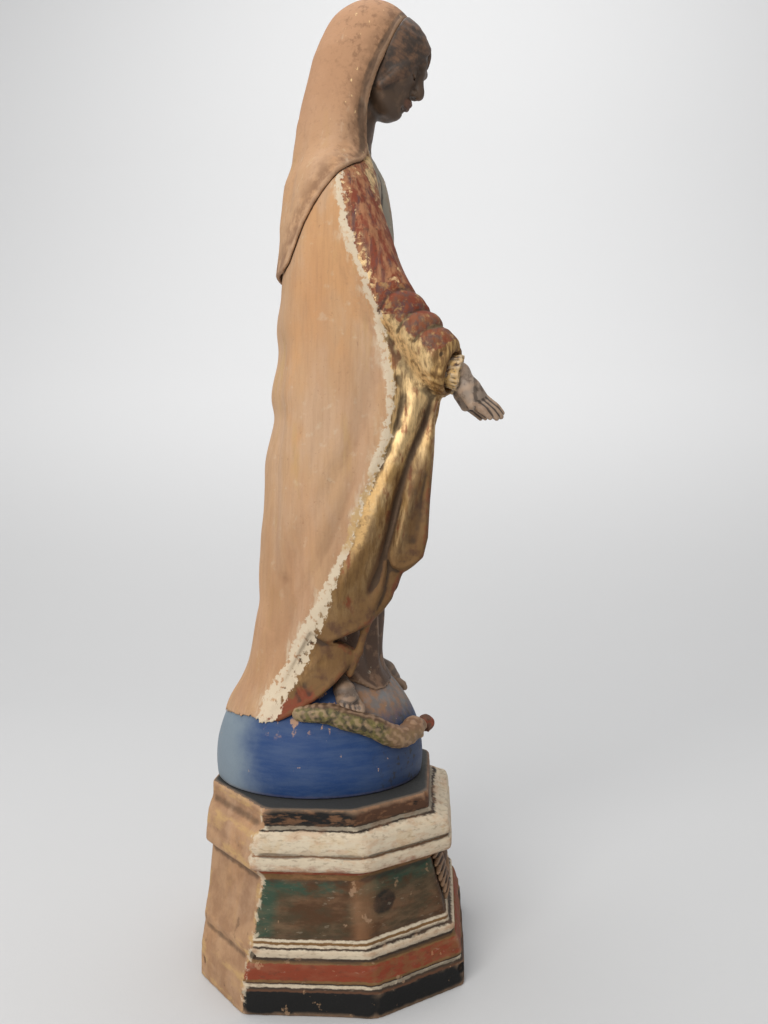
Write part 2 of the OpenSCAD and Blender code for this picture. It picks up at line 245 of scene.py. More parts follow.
def relief(u, v, strokes):
    """Height of soft ridges (+) and grooves (-) drawn on a plane: [points, width, height] each."""
    total = np.zeros(np.broadcast(u, v).shape, np.float32)
    for points, width, height in strokes:
        off, along = near_line(u, v, curve(points))
        fade = ease(np.minimum(along, 1 - along) / 0.14)
        total += (height * fade * np.exp(-(off / width) ** 2)).astype(np.float32)
    return total


def outline(u, v, points):
    """Signed distance to a closed outline on a plane, negative inside."""
    p = np.array(points, float)
    best = np.full(np.broadcast(u, v).shape, 1e6)
    inside = np.zeros(best.shape, bool)
    for k in range(len(p)):
        a, b = p[k - 1], p[k]
        run = b - a
        h = np.clip(((u - a[0]) * run[0] + (v - a[1]) * run[1]) / (run @ run + 1e-9), 0, 1)
        best = np.minimum(best, np.hypot(u - a[0] - h * run[0], v - a[1] - h * run[1]))
        crosses = (a[1] > v) != (b[1] > v)
        cut_u = a[0] + (v - a[1]) * run[0] / (run[1] if abs(run[1]) > 1e-9 else 1e-9)
        inside ^= crosses & (u < cut_u)
    return np.where(inside, -best, best).astype(np.float32)


def ripple(block, size, seed, terms=4):
    """Gentle unevenness, about -1 to 1, with lumps of the given size in mm."""
    rng = np.random.default_rng(seed)
    total = np.zeros(block.d.shape, np.float32)
    for _ in range(terms):
        way = rng.normal(size=3)
        way *= 2 * math.pi / size / np.linalg.norm(way) * rng.uniform(0.7, 1.4)
        phase = rng.uniform(0, 6.28)
        total += np.sin(way[0] * block.x + way[1] * block.f + way[2] * block.z + phase)
    return total / terms


# ---- Meshes ----


def mesh_data(block):
    """Points in mm (x, f, z) and quads of the block's surface."""
    grid = openvdb.FloatGrid(3 * block.step)
    grid.copyFromArray(np.ascontiguousarray(block.d, np.float32))
    points, quads = grid.convertToQuads(isovalue=0.0)
    points = np.array(points, float) * block.step + block.low
    points[:, 1] *= -1
    return points, np.array(quads, np.int32)


def neighbour_mean(values, edges, count):
    """Each vertex's mean of the values at its neighbours."""
    values = np.atleast_2d(values.T).T
    out = np.empty_like(values)
    share = np.bincount(edges[:, 0], minlength=count).clip(1)
    for k in range(values.shape[1]):
        out[:, k] = np.bincount(edges[:, 0], values[edges[:, 1], k], count) / share
    return out


def edges_of(quads):
    pairs = np.vstack([quads[:, [k, (k + 1) % 4]] for k in range(4)])
    return np.vstack([pairs, pairs[:, ::-1]])


def smoothed(points, edges):
    """Takes the last steps out of a surface without shrinking it (Taubin's smoothing)."""
    for share in (0.5, -0.52, 0.5, -0.52):
        points = points + share * (neighbour_mean(points, edges, len(points)) - points)
    return points


def normals_of(points, quads):
    cross = np.cross(points[quads[:, 2]] - points[quads[:, 0]], points[quads[:, 3]] - points[quads[:, 1]])
    out = np.zeros_like(points)
    for k in range(3):
        for corner in range(4):
            out[:, k] += np.bincount(quads[:, corner], cross[:, k], len(points))
    return out / (np.linalg.norm(out, axis=1, keepdims=True) + 1e-9)


def new_piece(name, points, quads, attributes):
    """A smooth-shaded object from points in mm (x, f, z) and faces."""
    mesh = bpy.data.meshes.new(name)
    place = points * MM
    place[:, 1] *= -1
    faces = np.array(quads, np.int32)
    mesh.vertices.add(len(place))
    mesh.vertices.foreach_set("co", place.ravel())
    mesh.loops.add(faces.size)
    mesh.loops.foreach_set("vertex_index", faces.ravel())
    mesh.polygons.add(len(faces))
    mesh.polygons.foreach_set("loop_start", np.arange(0, faces.size, faces.shape[1], dtype=np.int32))
    mesh.update(calc_edges=True)
    mesh.polygons.foreach_set("use_smooth", np.ones(len(faces), bool))
    for key, values in attributes.items():
        layer = mesh.attributes.new(key, "FLOAT", "POINT")
        layer.data.foreach_set("value", np.asarray(values, np.float32))
    mesh.validate()
    return linked(name, mesh)


def carve_piece(name, block, marks):
    """Turns a block into a piece. marks(x, f, z, n) gives the attributes that its paint reads."""
    points, quads = mesh_data(block)
    edges = edges_of(quads)
    points = smoothed(points, edges)
    quads = quads[:, ::-1] if volume_of(points, quads) < 0 else quads
    n = normals_of(points, quads)
    pull = neighbour_mean(points, edges, len(points)) - points
    bend = -(pull * n).sum(axis=1) / block.step ** 2
    for _ in range(4):
        bend = neighbour_mean(bend, edges, len(points))[:, 0]
    attributes = {"bend": bend}
    if marks:
        attributes.update(marks(points[:, 0], points[:, 1], points[:, 2], n))
    print(name, len(quads), "quads")
    return new_piece(name, points, quads[:, ::-1], attributes)


def volume_of(points, quads):
    a, b, c, d = (points[quads[:, k]] for k in range(4))
    return float((np.cross(a, b) * c).sum() + (np.cross(a, c) * d).sum())


# ---- The body's sections: (height, radius), as in the CAD model ----

ROBE_FRONT = [
    (100, 30), (108, 27), (115, 21.5), (120, 20), (145, 19.8), (170, 24), (195, 26.3), (220, 26),
    (245, 23.5), (260, 21.5), (266, 21.8), (280, 23.5), (297, 25.5), (310, 24.2), (320, 21.5),
    (328, 18.5), (335, 13.5), (340, 12),
]
ROBE_SIDE = [
    (100, 34), (108, 31), (116, 28.5), (145, 26), (195, 27.5), (220, 27), (262, 25), (297, 27), (310, 27),
    (320, 25), (328, 20), (335, 12.5), (340, 10.5),
]
ROBE_BACK = [
    (100, 33), (125, 29), (145, 27), (195, 25), (245, 19.5), (262, 18.5), (297, 16.5), (320, 14),
    (335, 11), (340, 10),
]
# The middle of each section, which for the robe and the mantle is the axis
UPRIGHT = [(0, 0), (400, 0)]
MANTLE_FRONT = [
    (95, 40), (112, 38), (122, 24), (130, 29), (137, 36), (147, 46), (157, 52), (164, 64), (200, 66),
    (222, 68), (230, 74), (247, 78), (262, 64), (270, 56), (285, 45), (300, 35), (312, 27.5), (321, 22),
    (334, 16.5), (342, 13),
]
MANTLE_SIDE = [
    (95, 42), (104, 40.5), (112, 38.2), (122, 36.7), (147, 37), (175, 38.5), (200, 39), (241, 38.5),
    (262, 38), (285, 37.5), (300, 36), (312, 33.5), (321, 29.5), (329, 25.5), (334, 22), (342, 15),
]
MANTLE_BACK = [
    (95, 47.6), (97, 47.2), (104, 45), (111, 40.2), (118, 37.2), (125, 35.9), (132, 34.9), (139, 33.7),
    (145, 32), (152, 32.7), (159, 32.4), (166, 31.4), (173, 31), (180, 29.8), (194, 28.9), (201, 28.8),
    (207, 27.6), (214, 25.7), (221, 23.9), (228, 26), (235, 25), (242, 23.1), (249, 22.2), (256, 23.7),
    (262, 23.7), (269, 22.6), (276, 22.4), (283, 21.5), (297, 20.4), (311, 18.8), (334, 15),
]
# The sleeve's middle line as (outward, forward, height), and its radii
ARM = [
    (24, 3, 316), (29.5, 8.5, 300), (33.5, 14.5, 286), (35.5, 20.5, 272), (36.8, 28, 260.5),
    (37, 37, 250), (36.4, 43.5, 240), (36, 47.5, 236.4), (36, 50.6, 235.4),
]
ARM_R = [9.3, 9.8, 9.6, 9.2, 8.8, 9, 9.4, 9.2, 8.8]


def arm_path(side):
    """The sleeve's middle line on one side; the left arm is held higher from the elbow on."""
    rises = [LEFT_RISE * k / 4 if side > 0 else 0 for k in (0, 0, 0, 0, 1.2, 3, 4, 4, 4)]
    return [(side * x, f, z + rise) for (x, f, z), rise in zip(ARM, rises)]


def cloak(block):
    """The mantle's outer surface before its folds: the body with both sleeves."""
    body = loft(block, UPRIGHT, MANTLE_FRONT, MANTLE_SIDE, MANTLE_BACK)
    kept, block.d = block.d, np.full_like(block.d, 50)
    for side in (-1, 1):
        block.tube(arm_path(side)[:5], ARM_R[:5], 3)
    arms, block.d = block.d, kept
    return body, smin(body, arms, 5)


def globe_distance(block, gap=0.0):
    """Distance to the globe, or to a ball that is larger by the gap."""
    return np.sqrt(block.x ** 2 + (block.f - GLOBE_F) ** 2 + (block.z - GLOBE_Z) ** 2) - GLOBE_R - gap


# The mantle's outline seen from the side, as (forward, height)
MANTLE_EDGE = [
    (-70, 350), (13.5, 350), (14.5, 334), (18.5, 320), (21.5, 300), (26, 284), (32, 270), (40, 256),
    (45, 247), (45.5, 236), (44, 226), (42.6, 221), (42.1, 209), (40.2, 186), (39.3, 170), (37.8, 163.9),
    (34, 160.4), (29.6, 157.4), (27, 152), (25.4, 147.2), (22, 142.6), (17.8, 138.6), (12.2, 135.3),
    (6, 132.9), (2.2, 131.4), (6.5, 129.9), (10.6, 127.2), (11.2, 124.8), (7.6, 119.5), (3.8, 115.2),
    (-3, 109.4), (-8, 106), (-13, 103.2), (-19, 99.8), (-25, 97.3), (-32, 96.4), (-70, 96.4),
]
# Where the front panel of the fall ends above the layer behind it, and where that ends above the hem piece
PANEL_STEP = [
    (24, 165.5), (26.2, 161), (30, 159), (34, 158.6), (38, 158), (38, 130), (14, 130), (18, 142),
    (21.5, 152),
]
TURN_STEP = [
    (-6, 136.5), (-2, 133.2), (2.2, 131.2), (16, 131), (16, 90), (-18, 90), (-26, 97), (-16, 118),
]
# Folds on the side of the mantle, seen from the side: points (forward, height), width, height of the ridge
SIDE_FOLDS = [
    [[(-9, 268), (-6, 238), (0, 219), (-4.5, 200), (-13, 176)], 4.5, -0.7],
    [[(5, 262), (8, 235), (7, 214), (-2, 190), (-9, 172)], 5, 0.6],
    [[(20, 246), (18, 228), (12, 208), (1, 190), (-10, 168), (-19, 146)], 4, -1.1],
    [[(15, 204), (9, 188), (1, 168), (-8, 152), (-17, 134), (-24, 120)], 2.6, -0.9],
    [[(-15, 158), (-19, 150), (-22, 144), (-25, 132)], 3.5, -0.9],
    [[(-12, 200), (-18, 172), (-22, 150), (-27, 130), (-33, 112)], 4, 0.7],
    [[(-2, 150), (-12, 134), (-20, 118), (-28, 104)], 3, 0.5],
    [[(36.5, 236), (34.5, 218), (29, 202), (22.4, 188), (14.5, 168), (7, 154), (3.4, 140)], 3.6, 1.7],
    [[(43, 231), (38, 217), (32.5, 204), (28.5, 190), (24.4, 172), (20, 157), (14, 145)], 2.6, -2.4],
    [[(41.5, 214), (38, 199), (33, 187), (28.6, 171), (25.6, 162.5)], 1.9, 1.5],
    [[(40.5, 200), (36.5, 183), (33, 166)], 3.2, -1.2],
    [[(30, 228), (26, 210), (19, 194), (12, 178)], 1.5, -0.6],
    [[(27.5, 249), (34, 244), (37, 236), (37.4, 228)], 4, 1.2],
    [[(27, 236), (30, 226), (28, 212)], 2, -0.7],
    [[(-13, 118.6), (-9.7, 113), (-6.4, 108)], 1.0, 1.0],
    [[(-22, 104), (-14, 112), (-5, 122), (2, 130)], 1.6, 0.6],
    [[(-21, 100.4), (-13, 104.6), (-5, 109.6), (3, 116), (9.5, 124)], 1.1, 0.8],
    [[(-2, 133.6), (2.4, 132.4), (10, 135.6), (17, 139.4), (24, 147), (27, 154)], 0.9, 0.6],
    [[(25.5, 162), (28.5, 160.2), (33.5, 161.4), (37.6, 165)], 0.9, 0.9],
    [[(41.4, 218), (41, 205), (39.4, 188), (38.4, 170)], 0.8, 0.5],
]
# Rolls and creases where the sleeve is pushed up the forearm
SLEEVE_FOLDS = [
    [[(19.5, 255), (24.5, 262.6), (30, 265.6), (37, 265)], 1.2, -0.8],
    [[(22, 252), (27.5, 259.6), (33, 262.4), (40, 261.5)], 2.4, 0.55],
    [[(27, 248), (31.2, 254.2), (36.2, 257.6), (43, 258.2)], 1.0, -0.9],
    [[(29, 245.6), (34.8, 251.6), (40, 254.4), (46, 254.6)], 2.1, 0.5],
    [[(33, 244), (38, 249.2), (43, 251.6), (49, 252.4)], 1.0, -0.85],
    [[(34, 240), (40.5, 245), (47, 247.6), (54, 248)], 2.6, 0.6],
    [[(42, 237), (45.6, 241), (50.4, 243.6)], 0.9, -0.7],
    [[(12, 312), (18, 296), (24, 280)], 1.4, -0.6],
    [[(16, 314), (23, 296), (29, 280)], 1.3, 0.5],
    [[(8, 306), (14, 288), (19, 272)], 2.0, -0.5],
]
BACK_FOLDS = [
    [[(0, 276), (2, 220), (-1, 160), (2, 112)], 4.5, -1.3],
    [[(11, 272), (14, 215), (18, 160), (22, 106)], 4, 1.1],
    [[(-12, 270), (-13, 220), (-19, 165), (-20, 108)], 4, 1.1],
    [[(21, 262), (24, 210), (29, 160), (33, 110)], 3.6, -1.1],
    [[(-22, 258), (-25, 205), (-28, 165), (-34, 108)], 3.6, -1.1],
    [[(6, 190), (9, 150), (11, 108)], 3, -0.9],
    [[(-7, 205), (-9, 160), (-10, 106)], 3, -0.8],
]
# A line along the forearm, from the elbow to the sleeve's mouth: (forward, height)
FOREARM = [(20, 262), (28, 254), (37, 246), (44, 239), (50, 232)]
# The white strip between the bare back and the gilded front: (height, forward)
STRIP = [
    (90, -30), (100, -24.5), (114, -17), (128, -9.6), (144, -1.8), (158, 4), (171, 9.8), (190, 16.4),
    (209, 23.3), (222, 25), (236, 25), (248, 22.4), (259, 19.5), (268, 16), (275, 13.6), (290, 8),
    (302, 6.4), (313, 6), (330, 6),
]


def robe_distance(block):
    return loft(block, UPRIGHT, ROBE_FRONT, ROBE_SIDE, ROBE_BACK)


def make_robe():
    block = Block((-37, -32, 101), (37, 31, 342), 0.75)
    body = robe_distance(block)
    folds = [
        [[(0, 332), (1, 310), (0, 290), (1, 268)], 1.6, -0.9],
        [[(0, 258), (2, 220), (-2, 170), (1, 122)], 3, 1.2],
        [[(0, 336), (-7, 332), (-13, 326)], 1.4, 0.9],
        [[(0, 336), (7, 332), (13, 326)], 1.4, 0.9],
    ]
    for side in (-1, 1):
        for k in range(4):
            out = 5 + 4.6 * k
            bodice = [(side * out * 0.55, 330 - 2 * k), (side * out, 300), (side * out * 0.8, 268)]
            skirt = [(side * out * 0.8, 257), (side * (out + 1.5), 215), (side * (out + 3), 170),
                     (side * (out + 2 * k), 108)]
            folds += [[bodice, 1.5, 0.9 if k % 2 else -0.8], [skirt, 2.1, 1.2 if k % 2 else -1.3]]
    height = relief(block.x[:, :, 0], block.z[0], folds)
    height += 1.3 * np.exp(-((block.z[0] - BELT_HEIGHT) / 2.6) ** 4)
    body -= height[:, None, :] * ease((block.f - 1) / 6)
    body -= 0.12 * ripple(block, 14, 3)
    hem = 106.6 + 1.6 * np.sin(block.x * 0.42 + 1) + 0.06 * (block.x + 12) ** 2 * (block.x < -12)
    body = smax(body, hem - block.z, 1.2)
    body = smax(body, -globe_distance(block, 0.15), 0.6)
    block.d = smax(body, block.z - ROBE_TOP, 1.5)
    return block


def make_mantle():
    block = Block((-50, -58, 94.5), (50, 56, 342), 0.72)
    f, z = block.f[0], block.z[0]
    outer, whole = cloak(block)
    side = relief(f, z, SIDE_FOLDS)
    side -= 2.4 * ease(-outline(f, z, PANEL_STEP) / 1.4)
    side -= 2.2 * ease(-outline(f, z, TURN_STEP) / 1.6) * ease((z - 96) / 40)
    side += 0.3 * ease(1.5 - np.abs((f - level(z, STRIP)) * 0.86) / 1.7)
    lumps = ripple(block, 16, 11)
    facing = ease(np.abs(block.x) / 12 - 0.6) * ease((block.f + 45) / 12)
    outer -= side[None] * facing + 0.22 * lumps
    back = relief(block.x[:, :, 0], z, BACK_FOLDS)
    outer -= back[:, None, :] * ease((-block.f - 8) / 10)
    wall = 5.2 + 32 * ease((13 - block.f) / 15)
    cloth = smax(outer, -(outer + wall), 1.5)
    cloth = smax(cloth, outline(f, z, MANTLE_EDGE)[None], 1.6)
    # the sleeve, gathered into pleats where the cuff comes out of it
    block.d = np.full_like(block.d, 50)
    for way in (-1, 1):
        block.tube(arm_path(way), ARM_R, 0.5)
    sleeve = block.d - relief(f, z, SLEEVE_FOLDS)[None] - 0.12 * lumps
    for way in (-1, 1):
        a, b, c = in_frame(block, *wrist_frame(way, MOUTH_PITCH, MOUTH_TOE))
        angle = np.arctan2(b, a)
        pleat = 0.3 * np.sin(17 * angle + 1.6 * np.sin(3 * angle)) + 0.4
        sleeve = sleeve - pleat * (way * block.x > 0) * ease((c + 8) / 4)
        sleeve = np.where(way * block.x > 0, smax(sleeve, c - 0.6, 1.2), sleeve)
    block.d = smin(cloth, sleeve, 6)
    for way in (-1, 1):
        origin, _, _, along = wrist_frame(way, CUFF_PITCH)
        bore = [origin + 4 * along, origin + along, origin - 3 * along]
        block.tube(bore, [7.7, 7.7, 6.6], 0.8, carve=True)
    # the far edge of the fall, seen through the gap below it
    for way in (-1, 1):
        far_edge = [(way * 29, 19, 146), (way * 29.5, 15, 136), (way * 30, 12.6, 127), (way * 30.5, 9, 118)]
        block.tube(far_edge, [1.6, 1.5, 1.5, 1.3], 1.2)
    # room for the veil, the robe and the globe
    veil = smax(-(veil_surface(block, whole) + VEIL_WALL + 0.15), outline(f, z, VEIL_EDGE)[None] - 0.3, 0.3)
    block.d = smax(block.d, -veil, 0.4)
    block.d = smax(block.d, -(robe_distance(block) - 0.2), 0.5)
    block.d = smax(block.d, -globe_distance(block, 0.2), 0.6)
    return block


# The veil's sections: (height, value); its middle moves forward over the head
VEIL_MID = [
    (270, 0), (334, 0), (345, 2), (353, 4), (365, 8), (372, 9.5), (380, 11), (387, 12), (410, 12.6),
]
VEIL_FRONT = [
    (270, 62), (285, 47), (300, 37), (312, 29.5), (321, 24), (334, 18), (345, 17), (353, 19), (365, 22),
    (372, 23), (380, 22.4), (387, 20),
]
VEIL_SIDE = [
    (270, 22), (312, 25), (321, 25.4), (329, 24.2), (336, 22.3), (345, 20.4), (353, 19.5), (365, 19.4),
    (374, 18.8), (382, 17), (387, 15.6),
]
VEIL_BACK = [
    (270, 24.4), (282, 23.4), (290, 21.8), (304, 20.0), (311, 19.4), (324, 18.3), (331, 17.7),
    (338, 17.3), (345, 18.2), (352, 18.9), (358, 19.3), (365, 19.6), (372, 19.8), (379, 19.4),
    (387, 18.2),
]
VEIL_EDGE = [
    (-70, 420), (33, 420), (33, 392.5), (30.8, 388), (27.4, 380.4), (22.8, 371.2), (19.2, 363),
    (16.6, 356), (14.9, 349.4), (14.3, 342), (14.4, 335), (15, 330), (14.6, 325.4), (12.6, 321),
    (9.2, 317.2), (5, 313.4), (-1.3, 305.9), (-5, 300.8), (-8.8, 294.6), (-12.6, 286.6), (-15.6, 281),
    (-19, 279), (-25, 280.8), (-70, 281.4),
]
VEIL_FOLDS = [
    [[(30.4, 390), (26.6, 380.8), (22, 371.4), (18.4, 363.4), (15.8, 356.4), (14.1, 349.4), (13.5, 342),
      (13.6, 334)], 0.9, 0.55],
    [[(28, 390), (24, 380.6), (19.4, 371.4), (15.6, 363), (13, 356), (11.6, 349), (11, 341),
      (11.4, 333)], 0.9, -0.4],
    [[(4, 372), (0, 352), (-4, 332), (-8, 310)], 4, -0.4],
    [[(-4, 366), (-8, 345), (-12, 320), (-15, 298)], 3.4, 0.5],
    [[(9, 352), (6, 338), (0, 322), (-6, 306)], 3, 0.4],
    [[(-9, 350), (-13, 325), (-18, 298)], 2.4, -0.5],
    [[(13.6, 323.4), (9, 318.6), (4.4, 314.6), (-1.8, 307.2), (-9.2, 296), (-13.6, 287),
      (-17, 282)], 0.8, 0.35],
]
VEIL_BACK_FOLDS = [
    [[(0, 350), (1, 320), (-1, 288)], 3.2, -0.8],
    [[(8, 352), (11, 320), (14, 292)], 3, 0.7],
    [[(-8, 350), (-12, 318), (-15, 292)], 3, 0.7],
    [[(16, 340), (21, 315), (24, 298)], 2.6, -0.6],
    [[(-17, 338), (-20, 318), (-25, 298)], 2.6, -0.6],
]
VEIL_WALL = 1.9


def veil_surface(block, whole=None):
    """The veil's outer surface: a cape laid on the mantle, and a hood over the head."""
    if whole is None:
        whole = cloak(block)[1]
    cape = whole - 0.8 - 0.9 * ease((-block.f - 10) / 12)
    cape = cape + 30 * ease((block.z - 316) / 40)
    hood = loft(block, VEIL_MID, VEIL_FRONT, VEIL_SIDE, VEIL_BACK)
    crown = ellipsoid(block.x, block.f, block.z, (0, 15, 372), (18.2, 23, 26.8))
    high = ease((block.z - 372) / 12)
    hood = hood * (1 - high) + crown * high
    return smin(cape, hood, 7 + 5 * ease((block.f + 15) / 15))


def make_veil():
    block = Block((-43, -44, 276), (43, 28, 402.5), 0.66)
    outer = veil_surface(block)
    f, z = block.f[0], block.z[0]
    sides = relief(f, z, VEIL_FOLDS)[None] * ease(np.abs(block.x) / 8)
    back = relief(block.x[:, :, 0], z, VEIL_BACK_FOLDS)[:, None, :] * ease(-block.f / 8)
    outer -= sides + back
    outer -= 0.12 * ripple(block, 15, 21)
    shell = smax(outer, -(outer + VEIL_WALL), 0.5)
    block.d = smax(shell, outline(f, z, VEIL_EDGE)[None], 0.7)
    return block


# ---- The head: built in its own frame and leant forward ----

HEAD_AT = np.array([0, 20, 372.5])
HEAD_TILT = math.radians(26)


def head_point(x, f, u):
    """A point of the head's own frame (side, forward, up) in the row's (x, f, z)."""
    c, s = math.cos(HEAD_TILT), math.sin(HEAD_TILT)
    return np.array([x, HEAD_AT[1] + f * c + u * s, HEAD_AT[2] - f * s + u * c])


def head_frame(x, f, z):
    """Points of the row's frame in the head's own: side, forward, up."""
    c, s = math.cos(HEAD_TILT), math.sin(HEAD_TILT)
    df, dz = f - HEAD_AT[1], z - HEAD_AT[2]
    return x, df * c - dz * s, df * s + dz * c


def hairline(side):
    """How high the hair begins over the forehead, at a distance from its middle."""
    return 13.2 - 0.35 * side - 0.11 * side ** 2


def strands(side, ahead, up):
    """Waves across the hair, from -1 to 1."""
    return np.sin(3.1 * (up + 0.75 * side + 0.3 * (ahead - 14)) + 1.4 * np.sin(0.3 * ahead + 0.2 * side))


class LeantBlock(Block):
    """A block whose shapes are given in the head's own frame."""

    def head_ball(self, middle, radii, blend=1.0, carve=False):
        radii = np.array(radii, float)
        at = head_point(*middle)
        self.add(lambda x, f, z: ellipsoid(*head_frame(x, f, z), middle, radii),
                 at - radii.max(), at + radii.max(), blend, carve)

    def head_tube(self, path, radii, blend=1.0, carve=False):
        line = curve(path, 4)
        self.tube([head_point(*point) for point in line], spread(radii, len(line)), blend, carve)


def make_head():
    block = LeantBlock((-19, -45, 326), (19, 6, 396), 0.42)
    ball, tube = block.head_ball, block.head_tube
    # skull, face and jaw, on the usual proportions: eyes half way down, nose and mouth below by thirds
    ball((0, -2.5, 4), (14.6, 17.5, 14.2), 1)
    ball((0, 5, -3), (12.4, 12.4, 15.5), 5)
    ball((0, 9.5, -13.2), (7.2, 6.6, 5.2), 6)
    ball((0, 10.2, 8.2), (9.6, 6.2, 6.6), 4)
    for way in (-1, 1):
        ball((way * 7.2, 9.4, -4.5), (4.6, 5.2, 5.4), 4)
        tube([(way * 10.5, 0, -6), (way * 8.4, 4.5, -12.4), (way * 3, 10.5, -16.6)], [3, 3, 2.6], 4)
    tube([(0, -6, -8), (0, -8, -24)], [9.2, 9], 4)
    block.tube([(0, 10.2, 356), (0, 6.4, 345), (0, 4.4, 330)], [8.4, 9.0, 10.2], 4)
    # brow, eyes under lowered lids
    for way in (-1, 1):
        tube([(way * 1.6, 16.5, 4.1), (way * 5.4, 16, 5), (way * 9.6, 12.6, 4)], [1.2, 1.2, 1.0], 2.6)
        ball((way * 5.6, 17.9, 0.9), (3.6, 2.0, 2.1), 2.6, carve=True)
        ball((way * 5.4, 13.5, 0.2), (3.0, 2.7, 2.5), 1.0)
        tube([(way * 2.9, 14.5, -0.4), (way * 4.2, 15.9, -1.15), (way * 5.8, 15.9, -1.35),
              (way * 7.4, 14.9, -1.0), (way * 8.6, 13.2, -0.2)], [0.3, 0.5, 0.5, 0.5, 0.3], 0.5)
        tube([(way * 3.0, 15.0, -1.2), (way * 4.4, 16.2, -1.95), (way * 6.2, 16.0, -2.1),
              (way * 8.2, 14.0, -1.3)], [0.25, 0.28, 0.28, 0.25], 0.5, carve=True)
    # nose
    tube([(0, 15.9, 4.2), (0, 16.6, 1.2), (0, 18.4, -2.6), (0, 20, -5.6)], [1.7, 1.35, 1.5, 1.75], 1.8)
    for way in (-1, 1):
        ball((way * 1.9, 17.9, -6.3), (1.45, 1.9, 1.3), 1.0)
        ball((way * 1.0, 19, -7.5), (0.55, 0.8, 0.5), 0.4, carve=True)
    # mouth and chin
    for way in (-1, 1):
        tube([(way * 4.1, 14.6, -11.2), (way * 2.2, 16.8, -10.8), (way * 0.8, 17.8, -10.2),
              (0, 17.6, -10.5)], [0.35, 0.8, 0.85, 0.8], 0.9)
    tube([(-3.6, 14.9, -11.9), (-1.8, 16.9, -12.2), (0, 17.4, -12.3), (1.8, 16.9, -12.2),
          (3.6, 14.9, -11.9)], [0.4, 0.95, 1.05, 0.95, 0.4], 0.8)
    tube([(-4.3, 14.9, -11.3), (-2, 17.2, -11.4), (0, 18.2, -11.1), (2, 17.2, -11.4), (4.3, 14.9, -11.3)],
         [0.25, 0.28, 0.28, 0.28, 0.25], 0.4, carve=True)
    tube([(-2.2, 16.2, -14.2), (0, 16.9, -14.4), (2.2, 16.2, -14.2)], [0.5, 0.6, 0.5], 1.6, carve=True)
    tube([(0, 18.7, -8), (0, 18.3, -9.4)], [0.35, 0.45], 0.9, carve=True)
    ball((0, 13.4, -16.4), (3.4, 3.2, 2.6), 2.4)
    # hair, parted in the middle and combed back over the temples
    x, ahead, up = head_frame(block.x, block.f, block.z)
    side = np.abs(x)
    cap = ellipsoid(x, ahead, up, (0, -0.4, 5), (15.9, 19.4, 16.6))
    cap = smin(cap, ellipsoid(x, ahead, up, (0, -1.5, -4.5), (14.5, 16.3, 16.5)), 3)
    cap -= 0.1 * strands(side, ahead, up) - 0.4 * np.exp(-(x / 0.6) ** 2) * (ahead > 4)
    cap = smax(cap, (hairline(side) - up) * 0.7, 1.2)
    cap = smax(cap, -17.5 - up, 1.5)
    block.d = smin(block.d, cap, 0.6)
    for way in (-1, 1):
        tube([(way * 1.2, 15.4, 13.6), (way * 4.4, 15.2, 9.8), (way * 8.6, 13.2, 2.8),
              (way * 11.6, 10.2, -5.6), (way * 12.9, 6.6, -13.6)], [0.6, 1.2, 1.5, 1.6, 1.2], 1.6)
    # nothing of the head reaches into the veil
    edge = outline(block.f[0], block.z[0], VEIL_EDGE)[None]
    outside = smax(-(veil_surface(block) + VEIL_WALL + 0.2), edge, 0.3)
    block.d = smax(block.d, -outside, 0.4)
    return block


# ---- Hands ----


def wrist_rise(side):
    return LEFT_RISE if side > 0 else 0


def wrist_frame(side, pitch, toe=4, roll=0.0):
    """Origin and axes (across, towards the back of the hand, along the fingers) at a cuff."""
    turn = math.radians(toe) * side
    along = np.array([math.sin(turn), math.cos(pitch), -math.sin(pitch)])
    along /= np.linalg.norm(along)
    across = np.array([1.0, 0, 0])
    across -= along * (across @ along)
    across /= np.linalg.norm(across)
    back = -np.cross(along, across)
    origin = CUFF_AT * (side, 1, 1) + (0, 0, wrist_rise(side))
    c, s = math.cos(roll), math.sin(roll) * side
    return origin, across * c - back * s, back * c + across * s, along


def in_frame(block, origin, across, up, along):
    """The block's points in a frame's own coordinates."""
    dx, df, dz = block.x - origin[0], block.f - origin[1], block.z - origin[2]
    return [dx * axis[0] + df * axis[1] + dz * axis[2] for axis in (across, up, along)]


